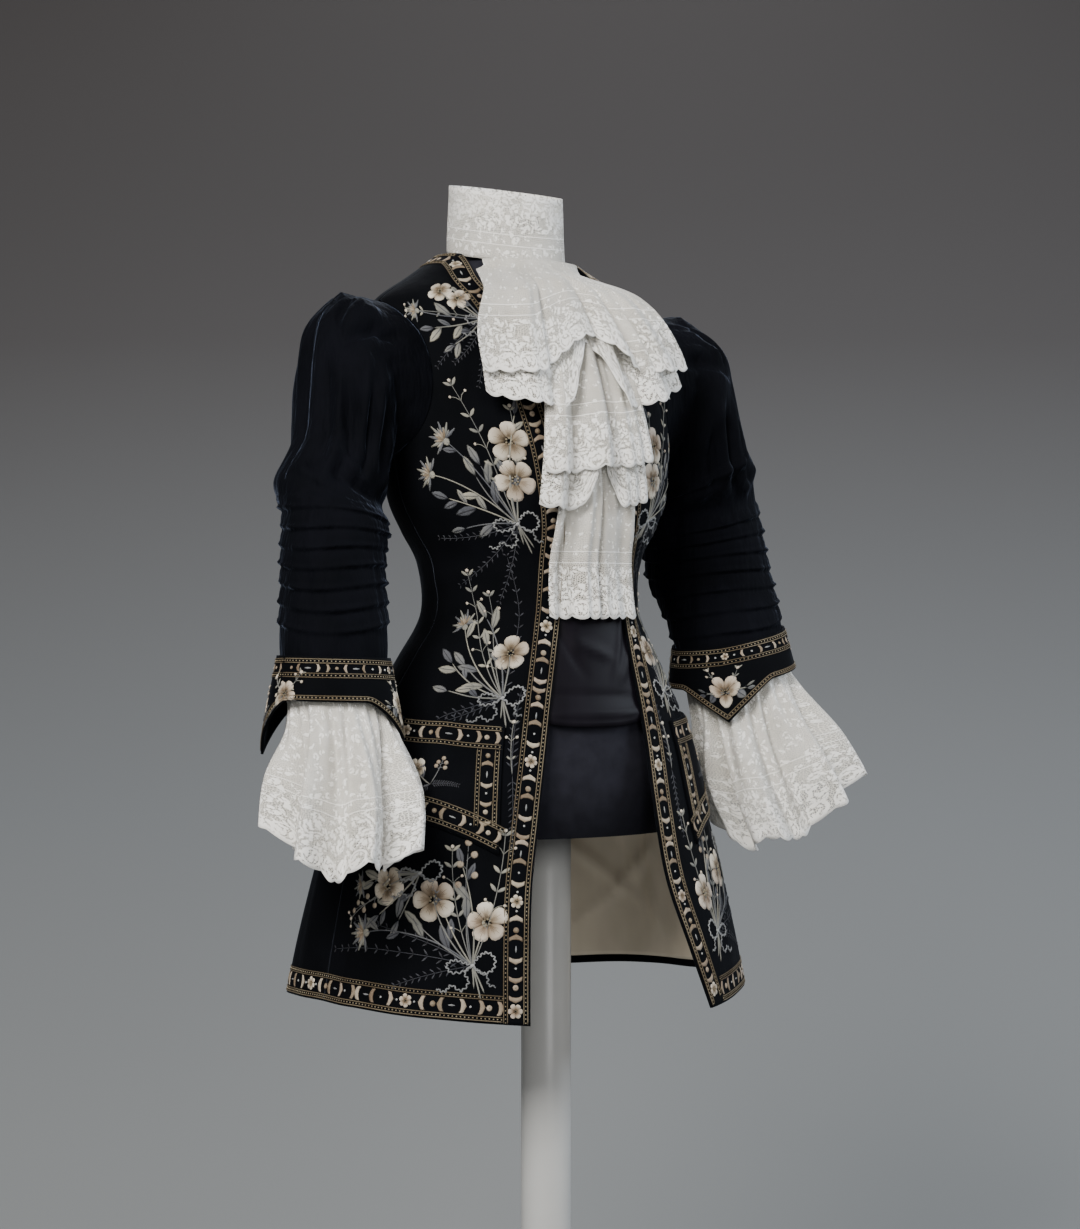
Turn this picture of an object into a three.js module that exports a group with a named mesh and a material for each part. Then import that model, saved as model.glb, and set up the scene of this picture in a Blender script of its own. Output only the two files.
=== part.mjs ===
// A woman's court riding coat of dark velvet, worn by a limbless dress form on a post.
// Millimetres, +Z up, the floor at z = 0 on the axis of the post.
// The coat faces -Y, so the wearer's right side is at -X.
// Every piece of cloth is a closed wall: its outer face is worked out from sections, and the
// inner face is the same face moved in by the cloth's thickness.
import * as THREE from 'three';

// ---------------------------------------------------------------- driving sizes
const VELVET = 2.4;        // thickness of velvet with its interlining
const SATIN = 1.2;         // lining and vest front
const LACE = 1.1;          // lace, with its edge cords
const SEAM_GAP = 0.3;      // clearance between pieces at a seam
const LAY_GAP = 0.8;       // clearance of a piece that lies on a curved panel

const ARMHOLE_LOW = 10.9;  // section level of the underarm point
const ARMHOLE_TOP = 14.0;  // section level of the shoulder point
const ARMHOLE_ANGLE = 31;  // half width of the armhole, in degrees about the body

const VENT_TOP = 6.6;      // section level where the centre-back seam ends
const VENT_ANGLE = 2.2;    // half opening of the vent at the hem, in degrees

const FORM_BOTTOM = 772;
const FORM_NECK = 1392;    // top of the form's neck, inside the collar
const POST_RADIUS = 25;
const BASE_RADIUS = 190;
const BASE_HEIGHT = 14;

// The coat's sections, hem to neck. front, side and back: heights of the ring at those places.
// wide, deep: half width and half depth. mid: the ring's centre in y.
// edgeRight, edgeLeft: how far from the centre line the front edges lie.
const SECTIONS = [
  { name: 'hem', front: 597, side: 617, back: 612, wide: 241, deep: 190, mid: 43, edgeRight: 110, edgeLeft: 112 },
  { name: 'low skirt', front: 662, side: 668, back: 668, wide: 231, deep: 180, mid: 43, edgeRight: 104, edgeLeft: 86 },
  { name: 'skirt', front: 729, side: 731, back: 731, wide: 217, deep: 166, mid: 43, edgeRight: 94, edgeLeft: 64 },
  { name: 'full hip', front: 797, side: 797, back: 797, wide: 201, deep: 152, mid: 42, edgeRight: 79, edgeLeft: 58 },
  { name: 'hip', front: 860, side: 860, back: 860, wide: 184, deep: 139, mid: 40, edgeRight: 65, edgeLeft: 56 },
  { name: 'high hip', front: 905, side: 905, back: 905, wide: 164, deep: 126, mid: 36, edgeRight: 54, edgeLeft: 54 },
  { name: 'below waist', front: 948, side: 948, back: 948, wide: 138, deep: 113, mid: 31, edgeRight: 43, edgeLeft: 50 },
  { name: 'waist', front: 992, side: 992, back: 992, wide: 114, deep: 102, mid: 27, edgeRight: 33, edgeLeft: 48 },
  { name: 'ribs', front: 1040, side: 1040, back: 1040, wide: 118, deep: 100, mid: 29, edgeRight: 28, edgeLeft: 46 },
  { name: 'under bust', front: 1073, side: 1073, back: 1073, wide: 137, deep: 106, mid: 30, edgeRight: 29, edgeLeft: 43 },
  { name: 'bust', front: 1105, side: 1105, back: 1105, wide: 153, deep: 110, mid: 31, edgeRight: 34, edgeLeft: 42 },
  { name: 'chest', front: 1155, side: 1155, back: 1155, wide: 161, deep: 110, mid: 34, edgeRight: 42, edgeLeft: 45 },
  { name: 'armhole', front: 1208, side: 1208, back: 1208, wide: 165, deep: 104, mid: 41, edgeRight: 52, edgeLeft: 52 },
  { name: 'yoke', front: 1258, side: 1260, back: 1262, wide: 167, deep: 92, mid: 48, edgeRight: 60, edgeLeft: 60 },
  { name: 'shoulder', front: 1294, side: 1297, back: 1304, wide: 163, deep: 80, mid: 56, edgeRight: 68, edgeLeft: 68 },
  { name: 'slope', front: 1318, side: 1328, back: 1334, wide: 115, deep: 68, mid: 64, edgeRight: 74, edgeLeft: 74 },
  { name: 'neck', front: 1334, side: 1353, back: 1362, wide: 72, deep: 60, mid: 70, edgeRight: 68, edgeLeft: 67 },
];
const TOP_LEVEL = SECTIONS.length - 1;

// The sleeves, armhole to wrist. out and in: the outer and inner ends of the section, across
// (distance from the centre line) and height. backRight, backLeft: the section's centre in y.
// deep: half depth. twist: how far the outer side lies forward of the centre.
const SLEEVE = [
  { name: 'head', outAcross: 206, outHeight: 1303, inAcross: 168, inHeight: 1132, deep: 62, twist: 0, backRight: 54, backLeft: 54 },
  { name: 'puff', outAcross: 234, outHeight: 1279, inAcross: 170, inHeight: 1124, deep: 69, twist: 3, backRight: 51, backLeft: 44 },
  { name: 'puff side', outAcross: 246, outHeight: 1241, inAcross: 172, inHeight: 1116, deep: 70, twist: 6, backRight: 49, backLeft: 47 },
  { name: 'upper arm', outAcross: 252, outHeight: 1198, inAcross: 173, inHeight: 1108, deep: 66, twist: 8, backRight: 48, backLeft: 42 },
  { name: 'low arm', outAcross: 262, outHeight: 1160, inAcross: 174, inHeight: 1099, deep: 64, twist: 10, backRight: 42, backLeft: 40 },
  { name: 'elbow', outAcross: 287, outHeight: 1121, inAcross: 176, inHeight: 1090, deep: 62, twist: 12, backRight: 40, backLeft: 53 },
  { name: 'below elbow', outAcross: 290, outHeight: 1090, inAcross: 180, inHeight: 1072, deep: 60, twist: 14, backRight: 21, backLeft: 48 },
  { name: 'forearm', outAcross: 295, outHeight: 1058, inAcross: 185, inHeight: 1050, deep: 58, twist: 15, backRight: 16, backLeft: 44 },
  { name: 'mid forearm', outAcross: 298, outHeight: 1026, inAcross: 188, inHeight: 1022, deep: 57, twist: 15, backRight: 12, backLeft: 38 },
  { name: 'low forearm', outAcross: 301, outHeight: 992, inAcross: 193, inHeight: 990, deep: 54, twist: 8, backRight: 5, backLeft: 23 },
  { name: 'above wrist', outAcross: 304, outHeight: 955, inAcross: 197, inHeight: 955, deep: 52, twist: 4, backRight: -1, backLeft: 14 },
  { name: 'wrist', outAcross: 301, outHeight: 918, inAcross: 204, inHeight: 918, deep: 47, twist: 2, backRight: -5, backLeft: 6 },
];
const SLEEVE_COLUMNS = 14;
const TUCK_FIRST = 5.3;    // sleeve level of the first tuck
const TUCK_LAST = 9.45;    // sleeve level of the last tuck
const TUCK_COUNT = 7;
const TUCK_DEEP = 3.2;     // how far a tuck stands out

// The wrists. top: height of the cuff's upper edge. lift: how much higher its outer side is held.
// lean: how far the cuff leans forward for each millimetre down.
// end: height where the sleeve ends and the frill begins. swing, forward, drop: how far the frill's
// lower edge moves out, forward and down. hemLift: how much higher that edge is on its outer side.
const WRISTS = {
  right: { top: 950, lift: 2, lean: 0.02, end: 918, swing: 24, forward: 46, drop: 158, hemLift: 4 },
  left: { top: 967, lift: 17, lean: 0.2, end: 936, swing: 32, forward: 42, drop: 150, hemLift: 16 },
};
const WRIST_TILT_FROM = 7; // sleeve level from which the left arm's tilt grows
const CUFF_FLARE = 12;     // how much wider the cuff is at its shortest place than at its top
const CUFF_SHORT = 42;     // depth of the cuff where it is shortest
const CUFF_POINTS = [      // toward: direction about the wrist, 0 out, 90 back. drop: extra depth
  { name: 'outer point', toward: 42, drop: 52, spread: 50 },
  { name: 'inner point', toward: 225, drop: 36, spread: 46 },
];
const FRILL_WAVES = 9;
const FRILL_WAVE_DEEP = 6.5;
const FRILL_SPREAD = 23;   // how much wider the frill's lower edge is
const FRILL_LOWEST = 290;  // direction of its longest place

// Pocket flaps, in degrees about the body and section levels.
const FLAP = { near: 35, far: 75, top: 4.65, bottom: 2.9, point: 0.55, droop: 0.16 };

const NECK_MIDDLE = 70;    // the neck's centre in y
const COLLAR_RADIUS = 57;
const COLLAR_LAP = 16;     // degrees of overlap
const COLLAR_BASE = { front: 1341, back: 1363 };
const COLLAR_TOP = { front: 1408, back: 1432 };

// ---------------------------------------------------------------- helpers
const radians = THREE.MathUtils.degToRad;
const lerp = THREE.MathUtils.lerp;
const smooth = (x) => THREE.MathUtils.smoothstep(x, 0, 1);

// The smooth run of one column of a table, at a level from 0 to the last row.
const curves = new Map();
function column(table, key, level) {
  const id = `${key}:${table[0].name}`;
  if (!curves.has(id)) {
    curves.set(id, new THREE.SplineCurve(table.map((row, i) => new THREE.Vector2(i, row[key]))));
  }
  const span = table.length - 1;
  return curves.get(id).getPoint(THREE.MathUtils.clamp(level / span, 0, 1)).y;
}

// The unit normal of a face at (u, v), by small steps.
function normalOf(face, u, v, round) {
  const step = 0.002;
  const u0 = round ? u - step : Math.max(0, u - step);
  const u1 = round ? u + step : Math.min(1, u + step);
  const along = face(u1, v).sub(face(u0, v));
  const up = face(u, Math.min(1, v + step)).sub(face(u, Math.max(0, v - step)));
  return along.cross(up).normalize();
}

// A closed wall over the face: columns by rows, its inner face moved in by the thickness.
// vStops may give the rows' own places; round joins the last column to the first.
function wall(face, { columns, rows = 1, thickness, round = false, turned = false, vStops = null }) {
  const stops = vStops ?? Array.from({ length: rows + 1 }, (_, j) => j / rows);
  const across = round ? columns : columns + 1;
  const points = [];
  for (const inward of [0, thickness]) {
    for (const v of stops) {
      for (let i = 0; i < across; i += 1) {
        const u = i / columns;
        const normal = normalOf(face, u, v, round).multiplyScalar(turned ? -1 : 1);
        points.push(face(u, v).addScaledVector(normal, -inward));
      }
    }
  }
  const layer = across * stops.length;
  const at = (side, j, i) => side * layer + j * across + (i % across);
  const index = [];
  const quad = (a, b, c, d) => index.push(a, b, c, a, c, d);
  for (let j = 0; j + 1 < stops.length; j += 1) {
    for (let i = 0; i < columns; i += 1) {
      quad(at(0, j, i), at(0, j, i + 1), at(0, j + 1, i + 1), at(0, j + 1, i));
      quad(at(1, j, i), at(1, j + 1, i), at(1, j + 1, i + 1), at(1, j, i + 1));
    }
  }
  const last = stops.length - 1;
  for (let i = 0; i < columns; i += 1) {
    quad(at(0, 0, i + 1), at(0, 0, i), at(1, 0, i), at(1, 0, i + 1));
    quad(at(0, last, i), at(0, last, i + 1), at(1, last, i + 1), at(1, last, i));
  }
  if (!round) {
    for (let j = 0; j < last; j += 1) {
      quad(at(0, j, 0), at(0, j + 1, 0), at(1, j + 1, 0), at(1, j, 0));
      quad(at(0, j + 1, columns), at(0, j, columns), at(1, j, columns), at(1, j + 1, columns));
    }
  }
  if (turned) {
    for (let k = 0; k < index.length; k += 3) {
      [index[k + 1], index[k + 2]] = [index[k + 2], index[k + 1]];
    }
  }
  const geometry = new THREE.BufferGeometry();
  geometry.setAttribute('position', new THREE.Float32BufferAttribute(points.flatMap((p) => p.toArray()), 3));
  geometry.setIndex(index);
  geometry.computeVertexNormals();
  return geometry;
}

// ---------------------------------------------------------------- the body of the coat
// Angle about the body in degrees: 0 at the front, 90 at the wearer's left, 180 at the back.
// The skirt hangs in shallow flutes that deepen towards the hem and towards the back.
const FLUTES = [           // at: angle. reach: half width in degrees. deep: depth at the hem
  { at: 62, reach: 17, deep: 5 }, { at: 96, reach: 14, deep: -7 }, { at: 122, reach: 15, deep: 9 },
  { at: 146, reach: 13, deep: -6 }, { at: 166, reach: 13, deep: 7 },
  { at: -58, reach: 18, deep: 6 }, { at: -92, reach: 15, deep: -6 }, { at: -118, reach: 14, deep: 8 },
  { at: -143, reach: 15, deep: -7 }, { at: -165, reach: 12, deep: 6 },
];
function flute(angle, level) {
  const fall = smooth((6.2 - level) / 6.2);
  return FLUTES.reduce((sum, f) => {
    const reach = Math.abs(angle - f.at) / f.reach;
    return sum + (reach < 1 ? f.deep * fall * 0.5 * (1 + Math.cos(Math.PI * reach)) : 0);
  }, 0);
}

function ring(angle, level, plain = false) {
  const turn = radians(angle);
  const ahead = Math.max(0, Math.cos(turn)) ** 2;
  const behind = Math.max(0, -Math.cos(turn)) ** 2;
  const side = column(SECTIONS, 'side', level);
  const height = side + (column(SECTIONS, 'front', level) - side) * ahead
    + (column(SECTIONS, 'back', level) - side) * behind;
  const swell = plain ? 0 : flute(angle, level);
  return new THREE.Vector3(
    (column(SECTIONS, 'wide', level) + swell) * Math.sin(turn),
    column(SECTIONS, 'mid', level) - (column(SECTIONS, 'deep', level) + swell) * Math.cos(turn),
    height,
  );
}

// A point on the coat's outer face, moved out along its normal.
function body(angle, level, out = 0, plain = false) {
  const face = (u, v) => ring(u * 360, v * TOP_LEVEL, plain);
  const normal = normalOf(face, angle / 360, level / TOP_LEVEL, true);
  return ring(angle, level, plain).addScaledVector(normal, out);
}

const edgeAngle = (key, level) => THREE.MathUtils.radToDeg(Math.asin(
  Math.min(0.97, column(SECTIONS, key, level) / column(SECTIONS, 'wide', level)),
));

// The armhole is an ellipse in angle and level; the panels' side edges follow it.
const ARMHOLE_MID = (ARMHOLE_LOW + ARMHOLE_TOP) / 2;
const ARMHOLE_HALF = (ARMHOLE_TOP - ARMHOLE_LOW) / 2;
function armholeAngle(level) {
  const away = (level - ARMHOLE_MID) / ARMHOLE_HALF;
  return Math.abs(away) < 1 ? ARMHOLE_ANGLE * Math.sqrt(1 - away * away) : 0;
}

// Rows of the panels: whole levels up to the underarm, the sleeve's own places round the
// armhole, so that both have the same points at that seam, and three more up to the neck.
const PANEL_LEVELS = [];
for (let level = 0; level < ARMHOLE_LOW - 0.3; level += 1) PANEL_LEVELS.push(level);
for (let k = SLEEVE_COLUMNS / 2; k >= 0; k -= 1) {
  PANEL_LEVELS.push(ARMHOLE_MID + ARMHOLE_HALF * Math.cos((2 * Math.PI * k) / SLEEVE_COLUMNS));
}
for (const level of [14.6, 15.2, TOP_LEVEL]) PANEL_LEVELS.push(level);
// Half the clearance at a lengthwise seam, as an angle about the body in degrees.
const seamAngle = (level) => THREE.MathUtils.radToDeg(SEAM_GAP / 2 / column(SECTIONS, 'deep', level));

// A panel between two edges, each an angle that depends on the level.
function panel(from, to, columns, options = {}) {
  const levels = options.levels ?? PANEL_LEVELS;
  const face = (u, v) => {
    const level = v * TOP_LEVEL;
    return body(lerp(from(level), to(level), u), level, options.out ?? 0);
  };
  return wall(face, {
    columns, thickness: options.thickness ?? VELVET, vStops: levels.map((level) => level / TOP_LEVEL),
  });
}

const sideSeam = (level) => 90 - armholeAngle(level) - seamAngle(level);
const backSeam = (level) => 90 + armholeAngle(level) + seamAngle(level);
const ventEdge = (level) => 180 - seamAngle(level) - VENT_ANGLE * smooth((VENT_TOP - level) / VENT_TOP);

// The same panel on either side: its edges swap when it is on the wearer's right.
const sided = (side, near, far, columns, options) => (side > 0
  ? panel(near, far, columns, options)
  : panel((level) => -far(level), (level) => -near(level), columns, options));
const frontEdge = (side) => (level) => edgeAngle(side < 0 ? 'edgeRight' : 'edgeLeft', level);
const PANEL_COLUMNS = 6;
const front = (side) => sided(side, frontEdge(side), sideSeam, PANEL_COLUMNS);
const back = (side) => sided(side, backSeam, ventEdge, PANEL_COLUMNS);

// The lining shows inside the skirt, and is cut to each panel; the panels' own velvet shows
// below it as a hem facing. The front's lining covers only the half next to the side seam.
const LINING = { levels: [0.42, 1, 2, 3, 4], out: -(VELVET + LAY_GAP), thickness: SATIN };
const liningFront = (side) => sided(
  side, (level) => lerp(frontEdge(side)(level), sideSeam(level), 0.5), sideSeam, PANEL_COLUMNS / 2, LINING,
);
const liningBack = (side) => sided(side, backSeam, ventEdge, PANEL_COLUMNS, LINING);

// The vest front lies behind both front edges.
const VEST_LEVELS = [4.45, 5, 6, 7, 8, 9, 10, 11, 12, 13, 14, 14.8];
const vest = () => panel(
  (v) => -edgeAngle('edgeRight', v) - 9,
  (v) => edgeAngle('edgeLeft', v) + 9,
  10,
  { levels: VEST_LEVELS, out: -(VELVET + 2 * LAY_GAP), thickness: SATIN },
);

// A pocket flap: a bowed top edge, and a lower edge that runs down to its front corner.
function flap(side) {
  const face = (u, v) => {
    const angle = lerp(FLAP.near, FLAP.far, side > 0 ? u : 1 - u);
    const forward = side > 0 ? 1 - u : u;
    const low = FLAP.bottom + 0.1 - FLAP.point * forward ** 2;
    return body(side * angle, lerp(low, FLAP.top - FLAP.droop * forward, v), LAY_GAP + VELVET);
  };
  return wall(face, { columns: 6, rows: 3, thickness: VELVET });
}

// ---------------------------------------------------------------- sleeves
// Direction about the arm in degrees: 0 out, 90 back, 180 in, 270 front.
function tuckSwell(level) {
  if (level < TUCK_FIRST || level > TUCK_LAST) return 0;
  const turn = ((level - TUCK_FIRST) / (TUCK_LAST - TUCK_FIRST)) * TUCK_COUNT;
  return TUCK_DEEP * (turn - Math.floor(turn));
}
const wristOf = (side) => (side < 0 ? WRISTS.right : WRISTS.left);
function sleeveRing(side, direction, level) {
  const turn = radians(direction);
  const out = new THREE.Vector3(column(SLEEVE, 'outAcross', level), 0, column(SLEEVE, 'outHeight', level));
  const inner = new THREE.Vector3(column(SLEEVE, 'inAcross', level), 0, column(SLEEVE, 'inHeight', level));
  const lift = wristOf(side).lift * smooth((level - WRIST_TILT_FROM) / 4);
  out.z += lift;
  inner.z -= lift;
  const swell = tuckSwell(level);
  const half = out.clone().sub(inner).multiplyScalar(0.5);
  const centre = inner.clone().add(half);
  half.setLength(half.length() + swell);
  const back = column(SLEEVE, side < 0 ? 'backRight' : 'backLeft', level);
  const point = centre.addScaledVector(half, Math.cos(turn));
  point.y = back + (column(SLEEVE, 'deep', level) + swell) * Math.sin(turn)
    - column(SLEEVE, 'twist', level) * Math.cos(turn);
  point.x *= side;
  return point;
}
// The armhole seam, just above the panels' outer face.
function armholeRing(side, direction) {
  const turn = radians(direction);
  const angle = 90 + ARMHOLE_ANGLE * Math.sin(turn);
  return body(side * angle, ARMHOLE_MID + ARMHOLE_HALF * Math.cos(turn), SEAM_GAP);
}
const TUCK_STEPS = [0.1, 0.9];
const SLEEVE_LEVELS = [-1, -0.55, 0, 1, 2, 3, 4, 4.8];
for (let k = 0; k < TUCK_COUNT; k += 1) {
  for (const step of TUCK_STEPS) {
    SLEEVE_LEVELS.push(TUCK_FIRST + ((k + step) * (TUCK_LAST - TUCK_FIRST)) / TUCK_COUNT);
  }
}
SLEEVE_LEVELS.push(TUCK_LAST + 0.1, 10.2);
const SLEEVE_TOTAL = SLEEVE.length;
// The level at which the sleeve's middle line is at a height.
function sleeveLevel(height) {
  const middle = (level) => (column(SLEEVE, 'outHeight', level) + column(SLEEVE, 'inHeight', level)) / 2;
  let level = 8;
  while (level < SLEEVE_TOTAL - 1 && middle(level) > height) level += 0.01;
  return level;
}
function sleeve(side) {
  const stops = [...SLEEVE_LEVELS, sleeveLevel(wristOf(side).end)];
  const face = (u, v) => {
    const level = v * SLEEVE_TOTAL - 1;
    if (level >= 0) return sleeveRing(side, u * 360, level);
    return armholeRing(side, u * 360).lerp(sleeveRing(side, u * 360, 0), level + 1);
  };
  return wall(face, {
    columns: SLEEVE_COLUMNS,
    thickness: VELVET,
    round: true,
    turned: side > 0,
    vStops: stops.map((level) => (level + 1) / SLEEVE_TOTAL),
  });
}

// ---------------------------------------------------------------- cuffs and frills
function cuffDrop(direction) {
  return CUFF_POINTS.reduce((drop, point) => {
    const away = Math.abs(((direction - point.toward + 540) % 360) - 180) / point.spread;
    return drop + (away < 1 ? point.drop * (1 - away) ** 1.3 : 0);
  }, CUFF_SHORT);
}
// The cuff is sewn on the sleeve at its upper edge and flares below it.
function cuff(side) {
  const wrist = wristOf(side);
  const top = sleeveLevel(wrist.top);
  const face = (u, v) => {
    const turn = radians(u * 360);
    const drop = cuffDrop(u * 360) * v;
    const out = VELVET + LAY_GAP + (CUFF_FLARE * drop) / CUFF_SHORT / 1.6;
    const point = sleeveRing(side, u * 360, top);
    point.x += side * out * Math.cos(turn);
    point.y += out * Math.sin(turn) - drop * wrist.lean;
    point.z -= drop;
    return point;
  };
  return wall(face, {
    columns: 2 * SLEEVE_COLUMNS, rows: 2, thickness: VELVET, round: true, turned: side > 0,
  });
}
// The frill starts inside the cuff, at the end of the sleeve, and opens in waves.
function frill(side) {
  const wrist = wristOf(side);
  const end = sleeveLevel(wrist.end);
  const face = (u, v) => {
    const turn = radians(u * 360);
    const point = sleeveRing(side, u * 360, end);
    const open = smooth(v * 1.15);
    const grow = FRILL_SPREAD * open + FRILL_WAVE_DEEP * open * Math.sin(FRILL_WAVES * turn + 0.6);
    point.x += side * (wrist.swing * v * v + grow * Math.cos(turn));
    point.y += grow * Math.sin(turn) - wrist.forward * v;
    point.z += wrist.hemLift * v * Math.cos(turn) - LAY_GAP
      - wrist.drop * v * (1 + 0.06 * Math.cos(turn - radians(FRILL_LOWEST)));
    return point;
  };
  return wall(face, { columns: 3 * FRILL_WAVES, rows: 3, thickness: LACE, round: true, turned: side > 0 });
}

// ---------------------------------------------------------------- lace at the neck
function collar() {
  const turnAll = 360 + COLLAR_LAP;
  const face = (u, v) => {
    const angle = -40 + u * turnAll;
    const turn = radians(angle);
    const lean = 0.5 * (1 - Math.cos(turn));
    const radius = COLLAR_RADIUS + (LACE + SEAM_GAP + 0.3) * (1 - u) + 2.5 * (1 - v);
    return new THREE.Vector3(
      radius * Math.sin(turn),
      NECK_MIDDLE - radius * Math.cos(turn),
      lerp(lerp(COLLAR_BASE.front, COLLAR_BASE.back, lean), lerp(COLLAR_TOP.front, COLLAR_TOP.back, lean), v),
    );
  };
  return wall(face, { columns: 20, rows: 2, thickness: LACE });
}

// The jabot's falls hang one over another from the foot of the collar.
// fall: length. neckWide, wide: half width at the neck and at the edge. shift: how far its middle
// lies to the wearer's right. stand: how far it stands off the chest. corner: how much shorter it is
// at its sides. notch: how much shorter in the middle. slant: how much longer on the wearer's right.
// quick: how soon it opens out on the wearer's right.
const JABOT = [
  { name: 'jabot_tier_3', fall: 356, neckWide: 26, wide: 51, shift: 2, stand: 7, waves: 4, deep: 4, corner: 0, notch: 0, slant: 0, quick: 1.5 },
  { name: 'jabot_tier_2_under', fall: 240, neckWide: 34, wide: 68, shift: 8, stand: 17, waves: 5, deep: 4, corner: 6, notch: 0, slant: 4, quick: 1.5 },
  { name: 'jabot_tier_2_over', fall: 212, neckWide: 42, wide: 71, shift: 8, stand: 24, waves: 5, deep: 4, corner: 8, notch: 10, slant: 6, quick: 1.5 },
  { name: 'jabot_tier_1_under', fall: 150, neckWide: 51, wide: 126, shift: 4, stand: 34, waves: 7, deep: 5, corner: 16, notch: 22, slant: 12, quick: 5 },
  { name: 'jabot_tier_1_over', fall: 124, neckWide: 58, wide: 130, shift: 4, stand: 43, waves: 7, deep: 5, corner: 4, notch: 28, slant: 6, quick: 5 },
];
const JABOT_ROWS = [0, 0.1, 0.34, 0.68, 1];
const JABOT_TOP = 1340.4;
const JABOT_LAYER = 2;     // distance between two falls where they are sewn on
const JABOT_INSET = 0.5;   // the innermost fall hangs right under the collar's edge
const JABOT_OPENS = 0.06;  // share of the fall at which it starts to open on the wearer's right
// How far forward the chest lies at a height, on the centre line.
function chestAt(height) {
  let level = 0;
  while (level < TOP_LEVEL && column(SECTIONS, 'front', level) < height) level += 0.02;
  return level;
}
function jabot(tier, order) {
  const face = (u, v) => {
    const aside = 2 * u - 1;
    const middle = tier.notch * (1 - smooth(Math.abs(aside) * 2));
    const height = JABOT_TOP - (tier.fall - tier.corner * aside * aside - middle - tier.slant * aside) * v;
    const level = chestAt(height);
    const spread = aside < 0
      ? 1 - (1 - Math.max(0, v - JABOT_OPENS)) ** tier.quick : Math.min(1, v * 1.2);
    const across = aside * lerp(tier.neckWide, tier.wide, spread) - tier.shift * v;
    const wide = column(SECTIONS, 'wide', level);
    const bow = Math.sqrt(Math.max(0.05, 1 - (across / wide) ** 2));
    const chest = column(SECTIONS, 'mid', level) - column(SECTIONS, 'deep', level) * bow;
    const wave = tier.deep * smooth(v * 1.4) * Math.cos(aside * Math.PI * tier.waves * 0.5);
    const stand = lerp(order * JABOT_LAYER - JABOT_INSET, tier.stand, smooth(v * 3));
    return new THREE.Vector3(across, chest - stand - wave, height);
  };
  return wall(face, { columns: 3 * tier.waves, vStops: JABOT_ROWS, thickness: LACE, turned: true });
}

// ---------------------------------------------------------------- the dress form
// Smooth and whole: the coat's own sections without flutes, moved in, then a round neck.
const FORM_COLUMNS = 28;
const FORM = [             // level: the coat's section. inset: how far inside its outer face
  { level: 3.35, inset: 24 }, { level: 4, inset: 14 }, { level: 5, inset: 8 }, { level: 6, inset: 6.4 },
  { level: 7, inset: 6.4 }, { level: 8, inset: 6.4 }, { level: 9, inset: 6.4 }, { level: 10, inset: 6.4 },
  { level: 11, inset: 6.4 }, { level: 12, inset: 6.4 }, { level: 13, inset: 6.4 }, { level: 14, inset: 6.4 },
  { level: 15, inset: 6.4 }, { level: 15.3, inset: 6.6 },
];
const FORM_NECK_RINGS = [
  { height: 1346, radius: 52.5 }, { height: 1370, radius: 49.5 },
  { height: FORM_NECK - 6, radius: 49 }, { height: FORM_NECK, radius: 44 },
];
function torso() {
  const around = Array.from({ length: FORM_COLUMNS }, (_, i) => (i * 360) / FORM_COLUMNS);
  const rings = FORM.map(({ level, inset }) => around.map((angle) => {
    const point = body(angle, level, -inset, true);
    if (level === FORM[0].level) point.z = FORM_BOTTOM;
    return point;
  }));
  for (const { height, radius } of FORM_NECK_RINGS) {
    rings.push(around.map((angle) => new THREE.Vector3(
      radius * Math.sin(radians(angle)), NECK_MIDDLE - radius * Math.cos(radians(angle)), height,
    )));
  }
  const points = rings.flat();
  const index = [];
  for (let j = 0; j + 1 < rings.length; j += 1) {
    for (let i = 0; i < FORM_COLUMNS; i += 1) {
      const a = j * FORM_COLUMNS + i;
      const b = j * FORM_COLUMNS + ((i + 1) % FORM_COLUMNS);
      index.push(a, b, b + FORM_COLUMNS, a, b + FORM_COLUMNS, a + FORM_COLUMNS);
    }
  }
  const low = points.push(new THREE.Vector3(0, column(SECTIONS, 'mid', FORM[0].level), FORM_BOTTOM)) - 1;
  const high = points.push(new THREE.Vector3(0, NECK_MIDDLE, FORM_NECK)) - 1;
  const lastRing = (rings.length - 1) * FORM_COLUMNS;
  for (let i = 0; i < FORM_COLUMNS; i += 1) {
    const next = (i + 1) % FORM_COLUMNS;
    index.push(low, next, i, high, lastRing + i, lastRing + next);
  }
  const geometry = new THREE.BufferGeometry();
  geometry.setAttribute('position', new THREE.Float32BufferAttribute(points.flatMap((p) => p.toArray()), 3));
  geometry.setIndex(index);
  geometry.computeVertexNormals();
  return geometry;
}

// Lathe profiles start and end on the axis; the lathe turns about y, so it is stood up.
const lathe = (profile, segments) => new THREE.LatheGeometry(
  profile.map(([radius, height]) => new THREE.Vector2(radius, height)), segments,
).rotateX(Math.PI / 2);
const post = () => lathe([
  [0, BASE_HEIGHT + SEAM_GAP], [POST_RADIUS, BASE_HEIGHT + SEAM_GAP],
  [POST_RADIUS, FORM_BOTTOM - SEAM_GAP], [0, FORM_BOTTOM - SEAM_GAP],
], 24);
const base = () => lathe([
  [0, 0], [BASE_RADIUS - 3, 0], [BASE_RADIUS, 3], [BASE_RADIUS, BASE_HEIGHT - 4],
  [BASE_RADIUS - 4, BASE_HEIGHT], [0, BASE_HEIGHT],
], 40);

// ---------------------------------------------------------------- the assembled coat
const cloth = (color, roughness) => new THREE.MeshStandardMaterial({ color, roughness, metalness: 0 });
const coat = new THREE.Group();
function add(name, geometry, material) {
  const mesh = new THREE.Mesh(geometry, material);
  mesh.name = name;
  coat.add(mesh);
}

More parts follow.
